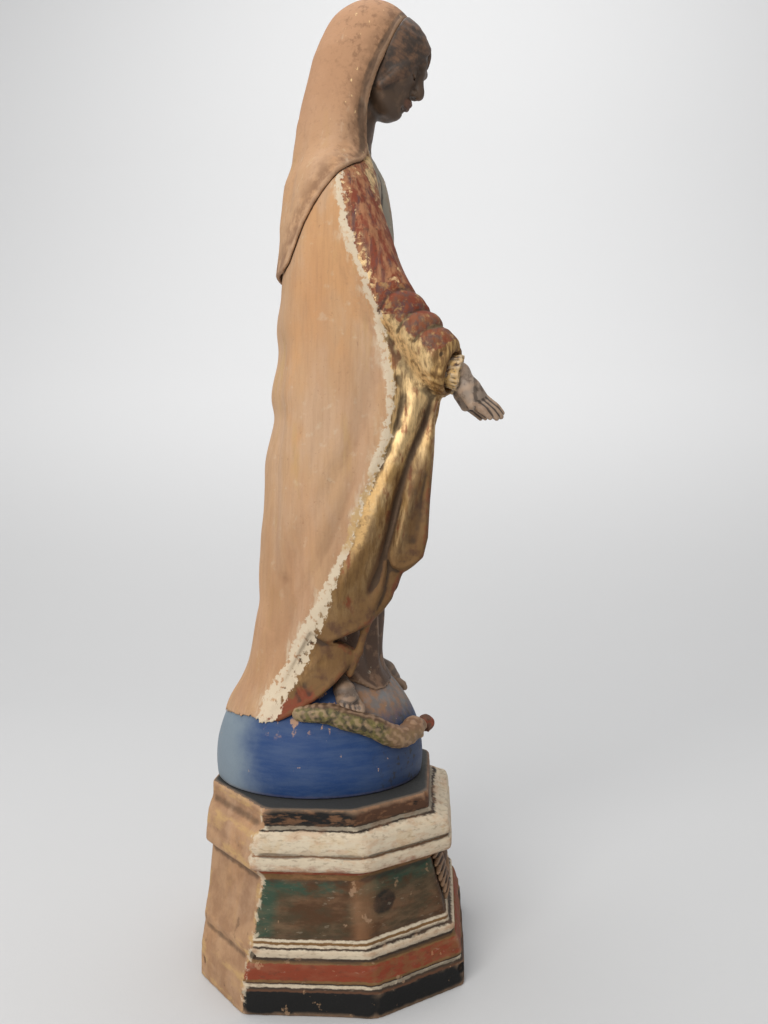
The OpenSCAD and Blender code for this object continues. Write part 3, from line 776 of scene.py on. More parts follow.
def make_hand(side):
    origin, across, back, along = wrist_frame(side, HAND_PITCH, roll=HAND_ROLL)
    cuff_way = wrist_frame(side, CUFF_PITCH)[3]
    finger_way = wrist_frame(side, FINGER_PITCH)[3]
    origin = origin + 2.6 * cuff_way
    rise = wrist_rise(side)
    block = Block((side * 37 - 13, -76, 208 + rise), (side * 37 + 13, -47, 242 + rise), 0.28)

    def place(a, b, c):
        return origin + a * across + b * back + c * along

    palm = [origin - 3 * cuff_way, place(0, 0, 0.3), place(0, 0, 6), place(0, 0, 10)]
    block.tube(palm, [4.2, 4.2, 3.7, 3.5], 1.5)
    for a, r in ((-2.6, 2.2), (-0.9, 2.4), (0.9, 2.4), (2.6, 2.2)):
        block.tube([place(a * 0.6, 0.1, 8), place(a * 1.2, 0.2, 13.4)], [r + 0.6, r - 0.2], 2.2)
    block.ball(place(side * -2.5, -1.3, 11), (2.2, 1.9, 2.8), 2)
    for a, length, r in ((-3.3, 9.2, 1.3), (-1.15, 10.6, 1.4), (1.05, 10.9, 1.4), (3.1, 9.8, 1.35)):
        knuckle = place(a * 0.9, 0.7, 12.6)
        tip = knuckle + length * finger_way + 0.05 * a * across
        middle = [knuckle + 4.5 * finger_way + 0.3 * back, tip - 3 * finger_way + 0.5 * back]
        path = curve([knuckle, *middle, tip], 3)
        block.tube(path, spread([r + 0.4, r + 0.1, r - 0.35], len(path)), 0.25)
    line = [(-3.0, -1.8, 7.6), (-4.4, -2.8, 11.6), (-4.6, -3.0, 15.4)]
    thumb = curve([place(side * a, b, c) for a, b, c in line], 3)
    block.tube(thumb, np.linspace(2.1, 1.25, len(thumb)), 0.9)
    return block


def make_cuff(side):
    """The ruffled end of the inner sleeve: a pleated ring round the wrist."""
    rise = wrist_rise(side)
    block = Block((side * 36 - 12, -60, 224 + rise), (side * 36 + 12, -44, 247 + rise), 0.34)
    a, b, c = in_frame(block, *wrist_frame(side, CUFF_PITCH))
    off_axis = np.sqrt(a * a + b * b)
    angle = np.arctan2(b, a)
    pleat = 0.2 * np.sin(19 * angle + 1.5 * np.sin(3 * angle))
    radius = 5.7 + 0.22 * c + pleat * ease((c + 2) / 5)
    edge = 3.9 + 0.35 * np.sin(5 * angle + 1)
    ring = smax(np.abs(off_axis - radius) - 0.6, np.abs(c + 0.3) - edge, 0.8)
    inner = smax(np.abs(off_axis - 5.0 - 0.2 * np.sin(11 * angle)) - 0.5, np.abs(c + 0.1) - 4, 0.7)
    block.d = smin(ring, inner, 0.5)
    return block


# ---- Serpent, apple and feet ----


def on_globe(bearing, height, lift):
    """A point over the globe: the bearing is 0 in front and grows towards the figure's right."""
    r = math.sqrt((GLOBE_R + lift) ** 2 - (height - GLOBE_Z) ** 2)
    turn = math.radians(bearing)
    return np.array([-r * math.sin(turn), GLOBE_F + r * math.cos(turn), height])


# The serpent's middle line from the tail to the neck: (bearing, height, radius)
SERPENT = [
    (95, 104, 2.8), (86, 104.3, 3.5), (77, 104, 3.9), (69, 102, 4.0), (61, 100.4, 4.1), (53.5, 98.4, 4.2),
    (46, 95.2, 4.2), (39, 93, 4.2), (32, 92.4, 4.0), (25, 93, 3.7),
]


def make_serpent():
    block = Block((-45, -42, 84), (-2, 14, 112), 0.42)
    line = curve([on_globe(b, h, r * 0.5) for b, h, r in SERPENT], 4)
    block.tube(line, spread([r for _, _, r in SERPENT], len(line)), 0.6)
    ridge = curve([on_globe(b, h + r * 0.62, r * 1.15) for b, h, r in SERPENT[3:]], 4)
    block.tube(ridge, [1.0] * len(ridge), 0.8)
    skull = [on_globe(30, 93.4, 2.4), on_globe(24, 94.6, 3), on_globe(16.5, 94.2, 3.4)]
    block.tube(skull, [4.0, 4.3, 2.7], 1.2)
    for lift, height in ((5.6, 96.8), (4.6, 91.6)):
        block.ball(on_globe(23, height, lift), (1.5, 1.5, 1.4), 0.7)
    block.ball(on_globe(28.5, 96.4, 4.8), (1.9, 1.9, 1.7), 0.9)
    block.d -= 0.22 * ripple(block, 3.2, 5, 6) + 0.12 * ripple(block, 1.7, 8, 5)
    block.d = smax(block.d, -globe_distance(block, 0.1), 0.5)
    return block


def make_apple():
    middle = np.array([-8, 38.6, 94.0])
    block = Block((-13, -44, 89), (-3, -33, 99), 0.3)
    block.ball(middle, (3.6, 3.6, 3.5), 0.5)
    block.ball(middle + (-0.3, 2.2, 3.2), (1.2, 1.2, 1.1), 0.9, carve=True)
    ridge = [middle + (-3.4, 1, -2.6), middle + (-2.6, 2.8, 0), middle + (-3.4, 1, 2.6)]
    block.tube(ridge, [0.5, 0.5, 0.4], 0.6)
    block.d -= 0.1 * ripple(block, 3, 4)
    return block


def make_foot(heading, tilt, middle, low, high):
    """Toes and instep. heading turns the toes from forward towards +X; tilt leans them down."""
    block = Block(low, high, 0.36)
    turn, lean = math.radians(heading), math.radians(tilt)
    ahead = np.array([math.sin(turn) * math.cos(lean), math.cos(turn) * math.cos(lean), -math.sin(lean)])
    side = np.array([math.cos(turn), -math.sin(turn), 0])
    up = np.cross(side, ahead)
    up *= np.sign(up[2])
    base = np.array(middle, float)

    def place(a, b, c):
        return base + a * side + b * ahead + c * up

    block.tube([place(0, -4, 0.6), place(0, 2, 0.2), place(0, 7, -1)], [3.8, 3.9, 3.2], 2)
    block.tube([place(-2, 6, -1), place(2, 6, -1)], [2.6, 2.6], 2)
    # the big toe is on the inner side, so the sizes run the other way on the right foot
    toes = [(1.55, 12.4), (1.2, 12.2), (1.15, 11.8), (1.1, 11.2), (1.0, 10.4)]
    for a, (size, length) in zip((-3.6, -1.6, 0.3, 2.0, 3.6), toes if heading > 0 else toes[::-1]):
        block.tube([place(a * 0.85, 7, -1), place(a, length - 1.5, -1.1), place(a, length, -1.9)],
                   [size + 0.25, size, size - 0.15], 0.25)
    block.d = smax(block.d, -globe_distance(block, 0.1), 0.4)
    return block


# ---- Globe and plinth ----


def make_globe():
    half = GLOBE_R + 2
    block = Block((-half, -GLOBE_F - half, PLINTH_TOP - 1), (half, -GLOBE_F + half, GLOBE_Z + half), 0.7)
    shell = globe_distance(block) - 0.1 * ripple(block, 9, 31)
    shell = smax(shell, -(shell + 5), 0.5)
    block.d = smax(shell, PLINTH_TOP + 0.1 - block.z, 0.3)
    return block


def ring(corners):
    """A row of corners from the front to the back on the +X side, and the same mirrored."""
    return corners + [(-x, f) for x, f in corners[::-1]]


# The plinth's outline: eight faces, each given by a foot line and a top line through the corners
FOOT = [(35, 54), (60, 22), (60, -27), (33, -50)]
TOP = [(30, 39.5), (53.5, 12.6), (53.5, -20.5), (20, -48)]
CHIPS = 46
CHIP_HEIGHTS = (0.5, 9.2, 22, 51.5, 64.5, 72)
# The hollow's outline
HOLLOW = ring([(23, 32), (46, 8), (46, -16), (16, -40)])
# (height, share of the way from the foot's outline to the top's)
MOULDINGS = [
    (0, 0), (9.0, 0), (9.25, 0.09), (11.45, 0.09), (11.8, 0.03), (13, 0.09), (15.5, 0.13), (18, 0.2),
    (18.9, 0.33), (20.1, 0.34), (20.5, 0.27), (21.6, 0.25), (22.7, 0.27), (23.1, 0.42), (26.2, 0.46),
    (26.6, 0.55), (31, 0.6), (36.5, 0.72), (43.5, 0.87), (46.8, 0.93), (47.4, 0.86), (48.9, 0.78),
    (49.5, 0.66), (50.8, 0.54), (51.2, 0.37), (53, 0.33), (55.8, 0.34), (56.2, 0.47), (57.2, 0.47),
    (57.6, 0.36), (60, 0.37), (62.8, 0.44), (63.5, 0.68), (64.7, 0.72), (65.1, 0.93), (66.3, 0.96),
    (66.8, 0.95), (71.4, 0.96), (72.4, 1),
]


def face_line(a, b):
    """Normal (outward) and offset of the upright plane through two corners."""
    run = np.array([b[0] - a[0], b[1] - a[1]], float)
    normal = np.array([run[1], -run[0]]) / np.linalg.norm(run)
    offset = float(normal @ np.array(a, float))
    return (normal, offset) if offset > 0 else (-normal, -offset)


def plinth_faces(corners):
    row = ring(corners)
    return [face_line(row[k], row[(k + 1) % 8]) for k in range(8)]


def make_plinth():
    block = Block((-61.5, -55.5, -0.6), (61.5, 51.5, PLINTH_TOP + 1), 0.8)
    x, f, z = block.x, block.f, block.z
    crisp = lookup(z, MOULDINGS).astype(np.float32)
    soft = 0.3 * crisp + 0.7 * lookup(z, MOULDINGS[::4]).astype(np.float32)
    wave = 0.22 * ripple(block, 26, 41) + 0.1 * ripple(block, 7, 42, 6)
    body = np.full_like(block.d, -80)
    for (foot_normal, foot_offset), (top_normal, top_offset) in zip(plinth_faces(FOOT), plinth_faces(TOP)):
        # the three rear faces are worn softer
        share = soft if foot_normal[1] < -0.3 else crisp
        nx, nf = (foot_normal[k] + (top_normal[k] - foot_normal[k]) * share for k in (0, 1))
        offset = foot_offset + (top_offset - foot_offset) * share
        plane = (x * nx + f * nf) / np.sqrt(nx * nx + nf * nf) - offset
        body = smax(body, plane.astype(np.float32), 1.4)
    body -= wave - 0.15
    body = smax(body, z - PLINTH_TOP, 0.8)
    block.d = smax(body, -z, 0.4)
    # chips along the arrises, both upright and level
    rng = np.random.default_rng(7)
    for _ in range(CHIPS):
        k = rng.integers(4)
        height = CHIP_HEIGHTS[rng.integers(6)]
        share = float(lookup(height, MOULDINGS))
        way = rng.choice((-1, 1))
        corner = [foot + share * (top - foot) for foot, top in zip(FOOT[k], TOP[k])]
        place = np.array([way * corner[0], corner[1], height])
        place[:2] *= 1 + rng.uniform(0, 0.02)
        place += rng.normal(scale=(1.4, 1.4, 1.6))
        block.ball(place, rng.uniform(0.8, 2.2), 0.8, carve=True)
    # the hollow, open underneath, and the bore for the peg
    inside = outline(x[:, :, 0], f[:, :, 0], HOLLOW)
    inside = smax(inside[:, :, None], z - HOLLOW_TOP, 1)
    block.d = smax(block.d, -inside, 0.6)
    bore = np.sqrt(x ** 2 + (f - GLOBE_F) ** 2) - BORE_R
    block.d = smax(block.d, -smax(bore, BORE_FOOT - z, 0.2), 0.3)
    return block


def front_slope(z):
    """How far forward the plinth's front face lies at a height."""
    return FOOT[0][1] + lookup(z, MOULDINGS) * (TOP[0][1] - FOOT[0][1])


def make_ornament():
    """A plain boss between two sprays of leaves, in low relief on the plinth's front."""
    block = Block((-31, -54, 26.5), (31, -40, 48.5), 0.36)
    low, high = front_slope(27), front_slope(46.5)
    ground = level(block.z, [(24, low), (27, low), (47, high), (50, high)])

    def spot(x, z, lift):
        return np.array([x, front_slope(min(max(z, 27), 46.4)) + lift, z])

    block.ball(spot(0, 37, 0.4), (7.6, 3.6, 8.6), 1.0)
    block.tube([spot(8.2 * math.sin(t), 37 + 8.8 * math.cos(t), 1.8) for t in np.linspace(0, 6.283, 20)],
               [1.25] * 20, 0.8)
    for way in (-1, 1):
        for k in range(7):
            start = spot(way * 9, 40 - 1.1 * k, 1.2)
            bow = spot(way * (16 + 0.6 * k), 45 - 2.1 * k, 2.4 - 0.1 * k)
            tip = spot(way * (27.5 - abs(k - 2.2)), 45 - 2.75 * k, 0.9)
            leaf = curve([start, bow, tip], 6)
            block.tube(leaf, spread([1.2, 1.7, 0.7], len(leaf)), 0.5)
        curl = [spot(way * (11 + 3.2 * math.cos(t)), 31.4 + 2.6 * math.sin(t), 1.4)
                for t in np.linspace(0, 5, 12)]
        block.tube(curl, np.linspace(1.5, 0.9, 12), 0.5)
    block.d = smax(block.d, ground - 0.1 - block.f, 0.3)
    return block


# ---- Materials ----

COLOURS = {
    "clay": (0.53, 0.325, 0.18), "clay_pink": (0.55, 0.355, 0.22), "clay_orange": (0.57, 0.315, 0.15),
    "clay_dark": (0.3, 0.165, 0.09), "gesso": (0.66, 0.55, 0.4), "dark_umber": (0.05, 0.034, 0.024),
    "gold_bright": (0.88, 0.63, 0.32), "gold": (0.56, 0.35, 0.135), "gold_low": (0.185, 0.098, 0.037),
    "bole": (0.23, 0.055, 0.027), "bole_brown": (0.1, 0.047, 0.026), "bole_purple": (0.13, 0.062, 0.055),
    "rust": (0.46, 0.22, 0.105), "blue": (0.013, 0.046, 0.15), "blue_grey": (0.22, 0.27, 0.3),
    "blue_spots_and_shade": (0.03, 0.035, 0.05), "silver": (0.34, 0.3, 0.235), "robe_brown": (0.09, 0.047, 0.026),
    "flesh": (0.09, 0.054, 0.032), "hand_skin": (0.29, 0.22, 0.165), "foot_skin": (0.16, 0.115, 0.085),
    "hair": (0.045, 0.031, 0.023), "wood": (0.45, 0.3, 0.17), "white": (0.62, 0.525, 0.385),
    "black": (0.012, 0.0115, 0.011), "slate": (0.045, 0.045, 0.043), "green": (0.078, 0.038, 0.017),
    "red": (0.22, 0.045, 0.02), "teal": (0.016, 0.085, 0.058), "ochre": (0.52, 0.33, 0.14),
    "olive": (0.17, 0.14, 0.045), "serpent": (0.05, 0.04, 0.022), "iron": (0.1, 0.085, 0.075),
    "apple": (0.13, 0.065, 0.04), "dome": (0.19, 0.155, 0.135), "veil": (0.46, 0.25, 0.135),
    "sheet_floor_shade": (0.60, 0.60, 0.60), "sheet_wall_light": (0.78, 0.78, 0.78),
}


class Paint:
    """One material, put together from worn layers of colour and from painted light and shade. A colour is a
    name in COLOURS or a socket.
    """

    def __init__(self, name):
        self.material = bpy.data.materials.new(name)
        self.material.use_nodes = True
        self.nodes = self.material.node_tree.nodes
        self.surface = self.nodes["Principled BSDF"]
        self.where = self.nodes.new("ShaderNodeTexCoord").outputs["Object"]
        split = self.nodes.new("ShaderNodeSeparateXYZ")
        self.feed(self.where, split.inputs[0])
        self.f = self.math("MULTIPLY", split.outputs[1], -1000)
        self.h = self.math("MULTIPLY", split.outputs[2], 1000)

    def feed(self, source, socket):
        if isinstance(source, bpy.types.NodeSocket):
            self.material.node_tree.links.new(source, socket)
        elif isinstance(source, str):
            socket.default_value = (*COLOURS[source], 1)
        else:
            socket.default_value = source

    def math(self, operation, a, b=0.0):
        node = self.nodes.new("ShaderNodeMath")
        node.operation = operation
        self.feed(a, node.inputs[0])
        self.feed(b, node.inputs[1])
        return node.outputs[0]

    def attr(self, name):
        node = self.nodes.new("ShaderNodeAttribute")
        node.attribute_name = name
        return node.outputs["Fac"]

    def step(self, value, low, high):
        """0 below low, 1 above high, smooth between; low may be the larger."""
        node = self.nodes.new("ShaderNodeMapRange")
        node.interpolation_type = "SMOOTHSTEP"
        start, end, flip = (low, high, 0.0) if low < high else (high, low, 1.0)
        for socket, source in zip(node.inputs, (value, start, end, flip, 1 - flip)):
            self.feed(source, socket)
        return node.outputs[0]

    def noise(self, size, seed, detail=5, up=1, across=1, warp=0.0):
        """Cloudy noise about 0.5, with lumps of the given size in mm; a low up draws them out upwards."""
        place = self.nodes.new("ShaderNodeMapping")
        self.feed(self.where, place.inputs["Vector"])
        place.inputs["Location"].default_value = (seed * 0.37, seed * 0.73, seed * 0.19)
        place.inputs["Scale"].default_value = (across, across, up)
        node = self.nodes.new("ShaderNodeTexNoise")
        self.feed(place.outputs[0], node.inputs["Vector"])
        settings = {"Scale": 1000 / size, "Detail": detail, "Roughness": 0.6, "Distortion": warp}
        for key, value in settings.items():
            node.inputs[key].default_value = value
        return node.outputs["Fac"]

    def patches(self, size, seed, low, high, detail=5, **how):
        return self.step(self.noise(size, seed, detail, **how), low, high)

    def wobble(self, value, size, amount, seed, detail=4):
        """The value moved up and down by noise, to break up a straight border."""
        swing = self.math("SUBTRACT", self.noise(size, seed, detail), 0.5)
        return self.math("ADD", value, self.both(swing, 2 * amount))

    def both(self, first, *others):
        """The product of any number of shares."""
        for other in others:
            first = self.math("MULTIPLY", first, other)
        return first

    def mix(self, a, b, *shares):
        """Colour a with b laid over it, as much as the product of the shares."""
        node = self.nodes.new("ShaderNodeMix")
        node.data_type = "RGBA"
        self.feed(self.both(*shares), node.inputs[0])
        self.feed(a, node.inputs[6])
        self.feed(b, node.inputs[7])
        return node.outputs[2]

    def clay(self):
        """Bare terracotta with soft streaks, as its colour."""
        tone = self.mix("clay", "clay_pink", self.patches(16, 1, 0.42, 0.6, up=0.35))
        tone = self.mix(tone, "clay_orange", self.patches(30, 2, 0.5, 0.68, up=0.5))
        tone = self.mix(tone, "gesso", self.patches(5, 3, 0.6, 0.72, 8), 0.35)
        tone = self.mix(tone, "ochre", self.patches(9, 4, 0.56, 0.7, up=0.2), 0.5)
        return self.mix(tone, "clay_dark", self.patches(1.6, 5, 0.63, 0.75, 3), 0.5)

    def hollows_and_edges(self, tone, amount, hollow_tone="dark_umber", worn="clay_pink"):
        """Hollows darkened, as dirt and as painted shade, and edges rubbed a little lighter, which also
        paints a highlight on them.
        """
        bend = self.wobble(self.attr("bend"), 2.5, 0.012, 9)
        tone = self.mix(tone, hollow_tone, self.step(bend, -0.012, -0.05), 0.75 * amount)
        return self.mix(tone, worn, self.step(bend, 0.03, 0.08), 0.3 * amount)

    def done(self, tone, rough=0.8, metal=0.0, relief=0.25, grain=1.2, shine=0.3):
        self.feed(tone, self.surface.inputs["Base Color"])
        self.feed(rough, self.surface.inputs["Roughness"])
        self.feed(metal, self.surface.inputs["Metallic"])
        self.surface.inputs["Specular IOR Level"].default_value = shine
        bump = self.nodes.new("ShaderNodeBump")
        bump.inputs["Strength"].default_value = 0.6
        bump.inputs["Distance"].default_value = relief * MM
        height = self.math("ADD", self.noise(grain, 11, 6), self.noise(grain * 6, 12, 4))
        self.feed(height, bump.inputs["Height"])
        self.feed(bump.outputs[0], self.surface.inputs["Normal"])
        return self.material


def mantle_paint():
    p = Paint("mantle_paint")
    border = p.wobble(p.wobble(p.attr("strip"), 8, 2.4, 21), 1.4, 1.9, 22, 8)
    clay = p.hollows_and_edges(p.clay(), 0.7, "clay_dark")
    # the clay darker towards the bottom
    darker_low = p.both(p.step(p.wobble(p.h, 40, 25, 47), 230, 150), p.patches(14, 48, 0.36, 0.66, up=0.3))
    clay = p.mix(clay, "clay_dark", darker_low, 0.45)
    clay = p.mix(clay, "rust", p.patches(20, 58, 0.44, 0.62, 7, up=0.22), 0.28)
    grain = p.patches(2.2, 59, 0.4, 0.72, 8, up=0.12, across=1.5)
    clay = p.mix(clay, "clay_dark", grain, 0.22)
    # gold leaf, rubbed thin over red bole, darker towards the front and the foot, with painted shade in its
    # folds and a painted highlight higher up
    leaf = p.mix("gold_bright", "gold", p.patches(7, 23, 0.4, 0.62, up=0.5))
    # brighter gold from about 200 mm up: painted highlight
    leaf = p.mix(leaf, "gold_bright", p.step(p.wobble(p.h, 12, 9, 59), 196, 216), 0.7)
    leaf = p.mix(leaf, "gold_low", p.step(p.wobble(p.h, 26, 22, 24), 222, 158), 0.85)
    streaks = p.patches(3.2, 35, 0.5, 0.66, 8, up=0.16, across=1.6)
    leaf = p.mix(leaf, "gold_low", streaks, 0.75)
    glaze = p.patches(1.8, 49, 0.44, 0.66, 9, up=0.3, across=1.3)
    leaf = p.mix(leaf, "bole_brown", glaze, 0.4)
    leaf = p.mix(leaf, "bole", p.patches(6, 25, 0.55, 0.66, 9, up=0.5), 0.75)
    # brown in the grooves of the folds: painted shade
    leaf = p.mix(leaf, "bole_brown", p.step(p.wobble(p.attr("fold"), 5, 0.5, 26), -0.3, -1.5), 0.75)
    # the upper sleeve, mostly bare bole
    upper = p.step(p.wobble(p.attr("arm"), 8, 9, 27, 9), 0.8, -0.8)
    arm_tone = p.mix("bole", "bole_purple", p.patches(5, 36, 0.46, 0.64, up=0.3, across=1.4))
    arm_tone = p.mix(arm_tone, "rust", p.patches(4.5, 37, 0.41, 0.6, 9, up=0.22, across=1.5), 0.8)
    arm_tone = p.mix(arm_tone, "bole_brown", p.patches(1.6, 52, 0.54, 0.66, 8), 0.6)
    flecks = p.both(p.patches(3.0, 28, 0.56, 0.6, 10, warp=0.5), p.patches(12, 38, 0.52, 0.6))
    near_strip = p.both(p.step(p.wobble(p.attr("strip"), 5, 2, 39), 6, 1.5),
                        p.patches(12, 46, 0.48, 0.58))
    flecks = p.math("MAXIMUM", flecks, p.both(near_strip, p.patches(2.4, 40, 0.5, 0.54, 9, warp=0.5)))
    arm_tone = p.mix(arm_tone, "gold_bright", flecks)
    leaf = p.mix(leaf, arm_tone, upper)
    # the rolls on the forearm, the front of the fall, the foot, the hem and the sleeve's mouth
    roll = p.step(p.wobble(p.attr("sleeve"), 9, 13, 29, 10), -2.0, 1.0)
    roll = p.both(roll, p.step(p.wobble(p.attr("bend"), 3, 0.03, 56), -0.06, -0.02))
    roll_tone = p.mix("bole", "bole_purple", p.patches(2.5, 41, 0.42, 0.6, 8))
    leaf = p.mix(leaf, p.mix(roll_tone, "gold", p.patches(3, 53, 0.52, 0.68, 10), 0.6), roll, 0.92)
    # the lower front edge of the fall darkened to brown: partly its paint, partly painted shade
    front = p.both(p.step(p.wobble(p.attr("rim"), 7, 5, 30), -12, -5), p.step(p.h, 212, 190))
    leaf = p.mix(leaf, p.mix("bole_brown", "gold_low", p.patches(6, 54, 0.36, 0.56, 8)), front, 0.85)
    foot = p.step(p.wobble(p.h, 6, 3, 34), 115, 112)
    foot_tone = p.mix("bole", "gold_low", p.patches(9, 31, 0.46, 0.56, 6))
    leaf = p.mix(leaf, foot_tone, foot, 0.85)
    hem = p.both(p.step(p.wobble(p.attr("rim"), 3, 1.2, 32), -2.0, -0.8), p.patches(5, 50, 0.46, 0.58, 7))
    leaf = p.mix(leaf, "bole", hem, 0.6)
    mouth = p.step(p.wobble(p.attr("mouth"), 2.5, 1.4, 51), -5.5, -3.5)
    pleats = p.mix("gold_low", "gold", p.patches(3, 57, 0.42, 0.66, 9, up=0.3, across=2))
    leaf = p.mix(leaf, pleats, mouth, 0.92)
    leaf = p.hollows_and_edges(leaf, 1.0, worn="gold_low")
    # the clay behind, the leaf in front, and the worn line of gesso between them
    front_share = p.step(border, 0.2, 0.9)
    tone = p.mix(clay, leaf, front_share)
    low_share = p.step(p.wobble(p.h, 20, 8, 42), 164, 132)
    width = p.wobble(p.math("ADD", 1.5, p.math("MULTIPLY", low_share, 2.5)), 9, 2.1, 33, 8)
    gap = p.math("SUBTRACT", width, p.math("ABSOLUTE", border))
    gesso = p.both(p.step(gap, -0.2, 0.3), p.patches(2.4, 43, 0.63, 0.53, 8))
    tone = p.mix(tone, "gesso", gesso, 0.92)
    smeared = p.both(p.step(gap, -4.5, 0.5), p.patches(4, 55, 0.5, 0.64, 9, up=0.4))
    tone = p.mix(tone, "gesso", smeared, p.step(border, 0.5, -0.5), 0.6)
    scraped = p.both(p.step(border, -2.5, -1), p.step(border, 6, 4), p.step(p.h, 164, 170),
                     p.step(p.h, 200, 192))
    tone = p.mix(tone, "ochre", scraped, p.patches(2.6, 44, 0.42, 0.5, 9), 0.85)
    dull = p.math("MAXIMUM", p.math("MAXIMUM", upper, front), roll)
    metal = p.both(front_share, p.step(gap, 0.3, -0.3), p.math("SUBTRACT", 0.7, p.both(dull, 0.5)))
    rough = p.math("SUBTRACT", 0.86, p.both(metal, 0.46))
    return p.done(tone, rough, metal, 0.3)


def veil_paint():
    p = Paint("veil_paint")
    high = p.step(p.wobble(p.h, 30, 20, 49), 300, 360)
    tone = p.mix(p.clay(), "veil", p.math("ADD", 0.2, p.both(high, 0.75)))
    tone = p.mix(tone, "clay_dark", p.patches(2.2, 47, 0.5, 0.7, 9), 0.3)
    rim = p.wobble(p.attr("rim"), 5, 1.2, 41)
    tone = p.mix(tone, "clay_dark", p.step(rim, -11, -3), p.patches(6, 42, 0.34, 0.6))
    ahead = p.step(p.wobble(p.f, 9, 5, 43), -2, 10)
    tone = p.mix(tone, "bole_brown", ahead, p.patches(3, 44, 0.5, 0.66, 9), 0.4)
    tone = p.mix(tone, "gold_bright", ahead, p.patches(1.8, 45, 0.665, 0.69, 8, up=0.5))
    tone = p.mix(tone, "gesso", p.patches(6, 46, 0.6, 0.72, 9, up=0.3), 0.4)
    # the inside of the veil painted near black: painted shade
    tone = p.mix(tone, "dark_umber", p.step(p.attr("inner"), 0.1, 0.6), 0.85)
    # a dark band in the groove just inside the rim, above the shoulders: painted shade
    groove = p.both(p.step(p.wobble(p.attr("rim"), 2, 0.5, 48), -0.1, -1.2),
                    p.step(p.attr("rim"), -3.6, -2.4))
    tone = p.mix(tone, "dark_umber", groove, p.step(p.h, 318, 330), 0.7)
    return p.done(p.hollows_and_edges(tone, 1.0), 0.8, 0.0, 0.3)


def robe_paint():
    p = Paint("robe_paint")
    low = p.step(p.wobble(p.h, 14, 12, 51), 285, 235)
    tone = p.mix("silver", "robe_brown", low)
    tone = p.mix(tone, "clay_dark", p.patches(6, 52, 0.52, 0.64, 7), 0.55)
    tone = p.mix(tone, "gesso", p.patches(3.5, 53, 0.62, 0.7, 6), 0.5)
    return p.done(p.hollows_and_edges(tone, 1.1), 0.62, p.both(p.step(low, 0.6, 0.2), 0.2), 0.25, shine=0.45)


def head_paint():
    p = Paint("head_paint")
    flesh = p.mix("flesh", "clay_dark", p.patches(6, 61, 0.48, 0.7, 6), 0.4)
    flesh = p.mix(flesh, "gesso", p.patches(2.0, 62, 0.68, 0.74, 5), 0.2)
    flesh = p.mix(flesh, "bole", p.attr("lips"), 0.28)
    flesh = p.mix(flesh, "dark_umber", p.attr("brow"), 0.5)
    hair = p.mix("hair", "dark_umber", p.patches(3, 63, 0.4, 0.66, 6))
    bared = p.both(p.step(p.wobble(p.attr("parting"), 7, 4, 64), -11, -4),
                   p.patches(4, 65, 0.36, 0.66, 9))
    hair = p.mix(hair, "rust", bared, 0.32)
    # darker in the grooves between the strands: painted shade
    hair = p.mix(hair, "dark_umber", p.step(p.attr("strand"), 0.0, -0.8), 0.3)
    # darker along the veil's edge, where the hair goes under it: painted shade
    hair = p.mix(hair, "dark_umber", p.step(p.attr("parting"), 1.6, 0.4), 0.6)
    tone = p.mix(flesh, hair, p.attr("hair"))
    rough = p.math("ADD", 0.5, p.both(p.attr("hair"), 0.1))
    return p.done(p.hollows_and_edges(tone, 0.6, worn="flesh"), rough, 0.0, 0.12, 0.8, shine=0.45)


def skin_paint(name):
    p = Paint(name)
    tone = p.mix(name, "flesh", p.patches(3.4, 71, 0.46, 0.66, 7))
    tone = p.mix(tone, "gesso", p.patches(2, 72, 0.64, 0.7, 5), 0.3)
    # a darker stain towards the fingertips, with a crisp edge
    ahead = p.wobble(p.f, 4, 1.2, 73)
    tone = p.mix(tone, "foot_skin", p.step(ahead, 58, 61), 0.4)
    tone = p.mix(tone, "dark_umber", p.step(ahead, 57, 57.5), p.step(ahead, 58.8, 58.2), 0.75)
    return p.done(p.hollows_and_edges(tone, 1.2), 0.55, 0.0, 0.12, 0.8, shine=0.5)


def cuff_paint():
    p = Paint("cuff_paint")
    tone = p.mix("gold", "bole_brown", p.patches(3, 81, 0.44, 0.6, 6))
    tone = p.mix(tone, "gesso", p.patches(2, 82, 0.5, 0.6), 0.35)
    return p.done(p.hollows_and_edges(tone, 0.9, worn="gesso"), 0.6, 0.15, 0.15, 0.9)


def globe_paint():
    p = Paint("globe_paint")
    brush = p.patches(5, 96, 0.3, 0.7, 8, up=2.2, across=0.4)
    tone = p.mix("blue", p.mix("blue", "blue_grey", 0.12), brush)
    # paler grey-blue on the back: partly worn paint, partly painted light
    tone = p.mix(tone, "blue_grey", p.step(p.wobble(p.f, 16, 9, 91), -20, -40), 0.85)
    # dark spots on the front, and the whole front darkened as painted shade
    ahead = p.step(p.wobble(p.f, 12, 8, 97), 14, 30)
    tone = p.mix(tone, "blue_spots_and_shade", ahead, p.patches(3.2, 92, 0.56, 0.62, 3))
    tone = p.mix(tone, "blue_spots_and_shade", ahead, 0.35)
    top = p.step(p.wobble(p.wobble(p.h, 12, 5, 94), 3, 2, 98), 95, 104)
    dome = p.mix("dome", "clay_dark", p.patches(5, 99, 0.44, 0.62, 8))
    dome = p.mix(dome, "blue_grey", p.patches(9, 90, 0.46, 0.66, 6), 0.4)
    tone = p.mix(tone, dome, top, p.step(p.f, 2, 12))
    under_hem = p.both(p.step(p.wobble(p.h, 8, 3, 89), 94, 99), p.patches(5, 95, 0.55, 0.6, 8))
    tone = p.mix(tone, "clay_orange", under_hem, p.step(p.f, 12, 6), p.step(p.f, -30, -22), 0.7)
    tone = p.mix(tone, "clay_pink", p.patches(3.4, 88, 0.69, 0.71, 6), 0.7)
    return p.done(p.hollows_and_edges(tone, 0.3), 0.6, 0.0, 0.2, shine=0.35)


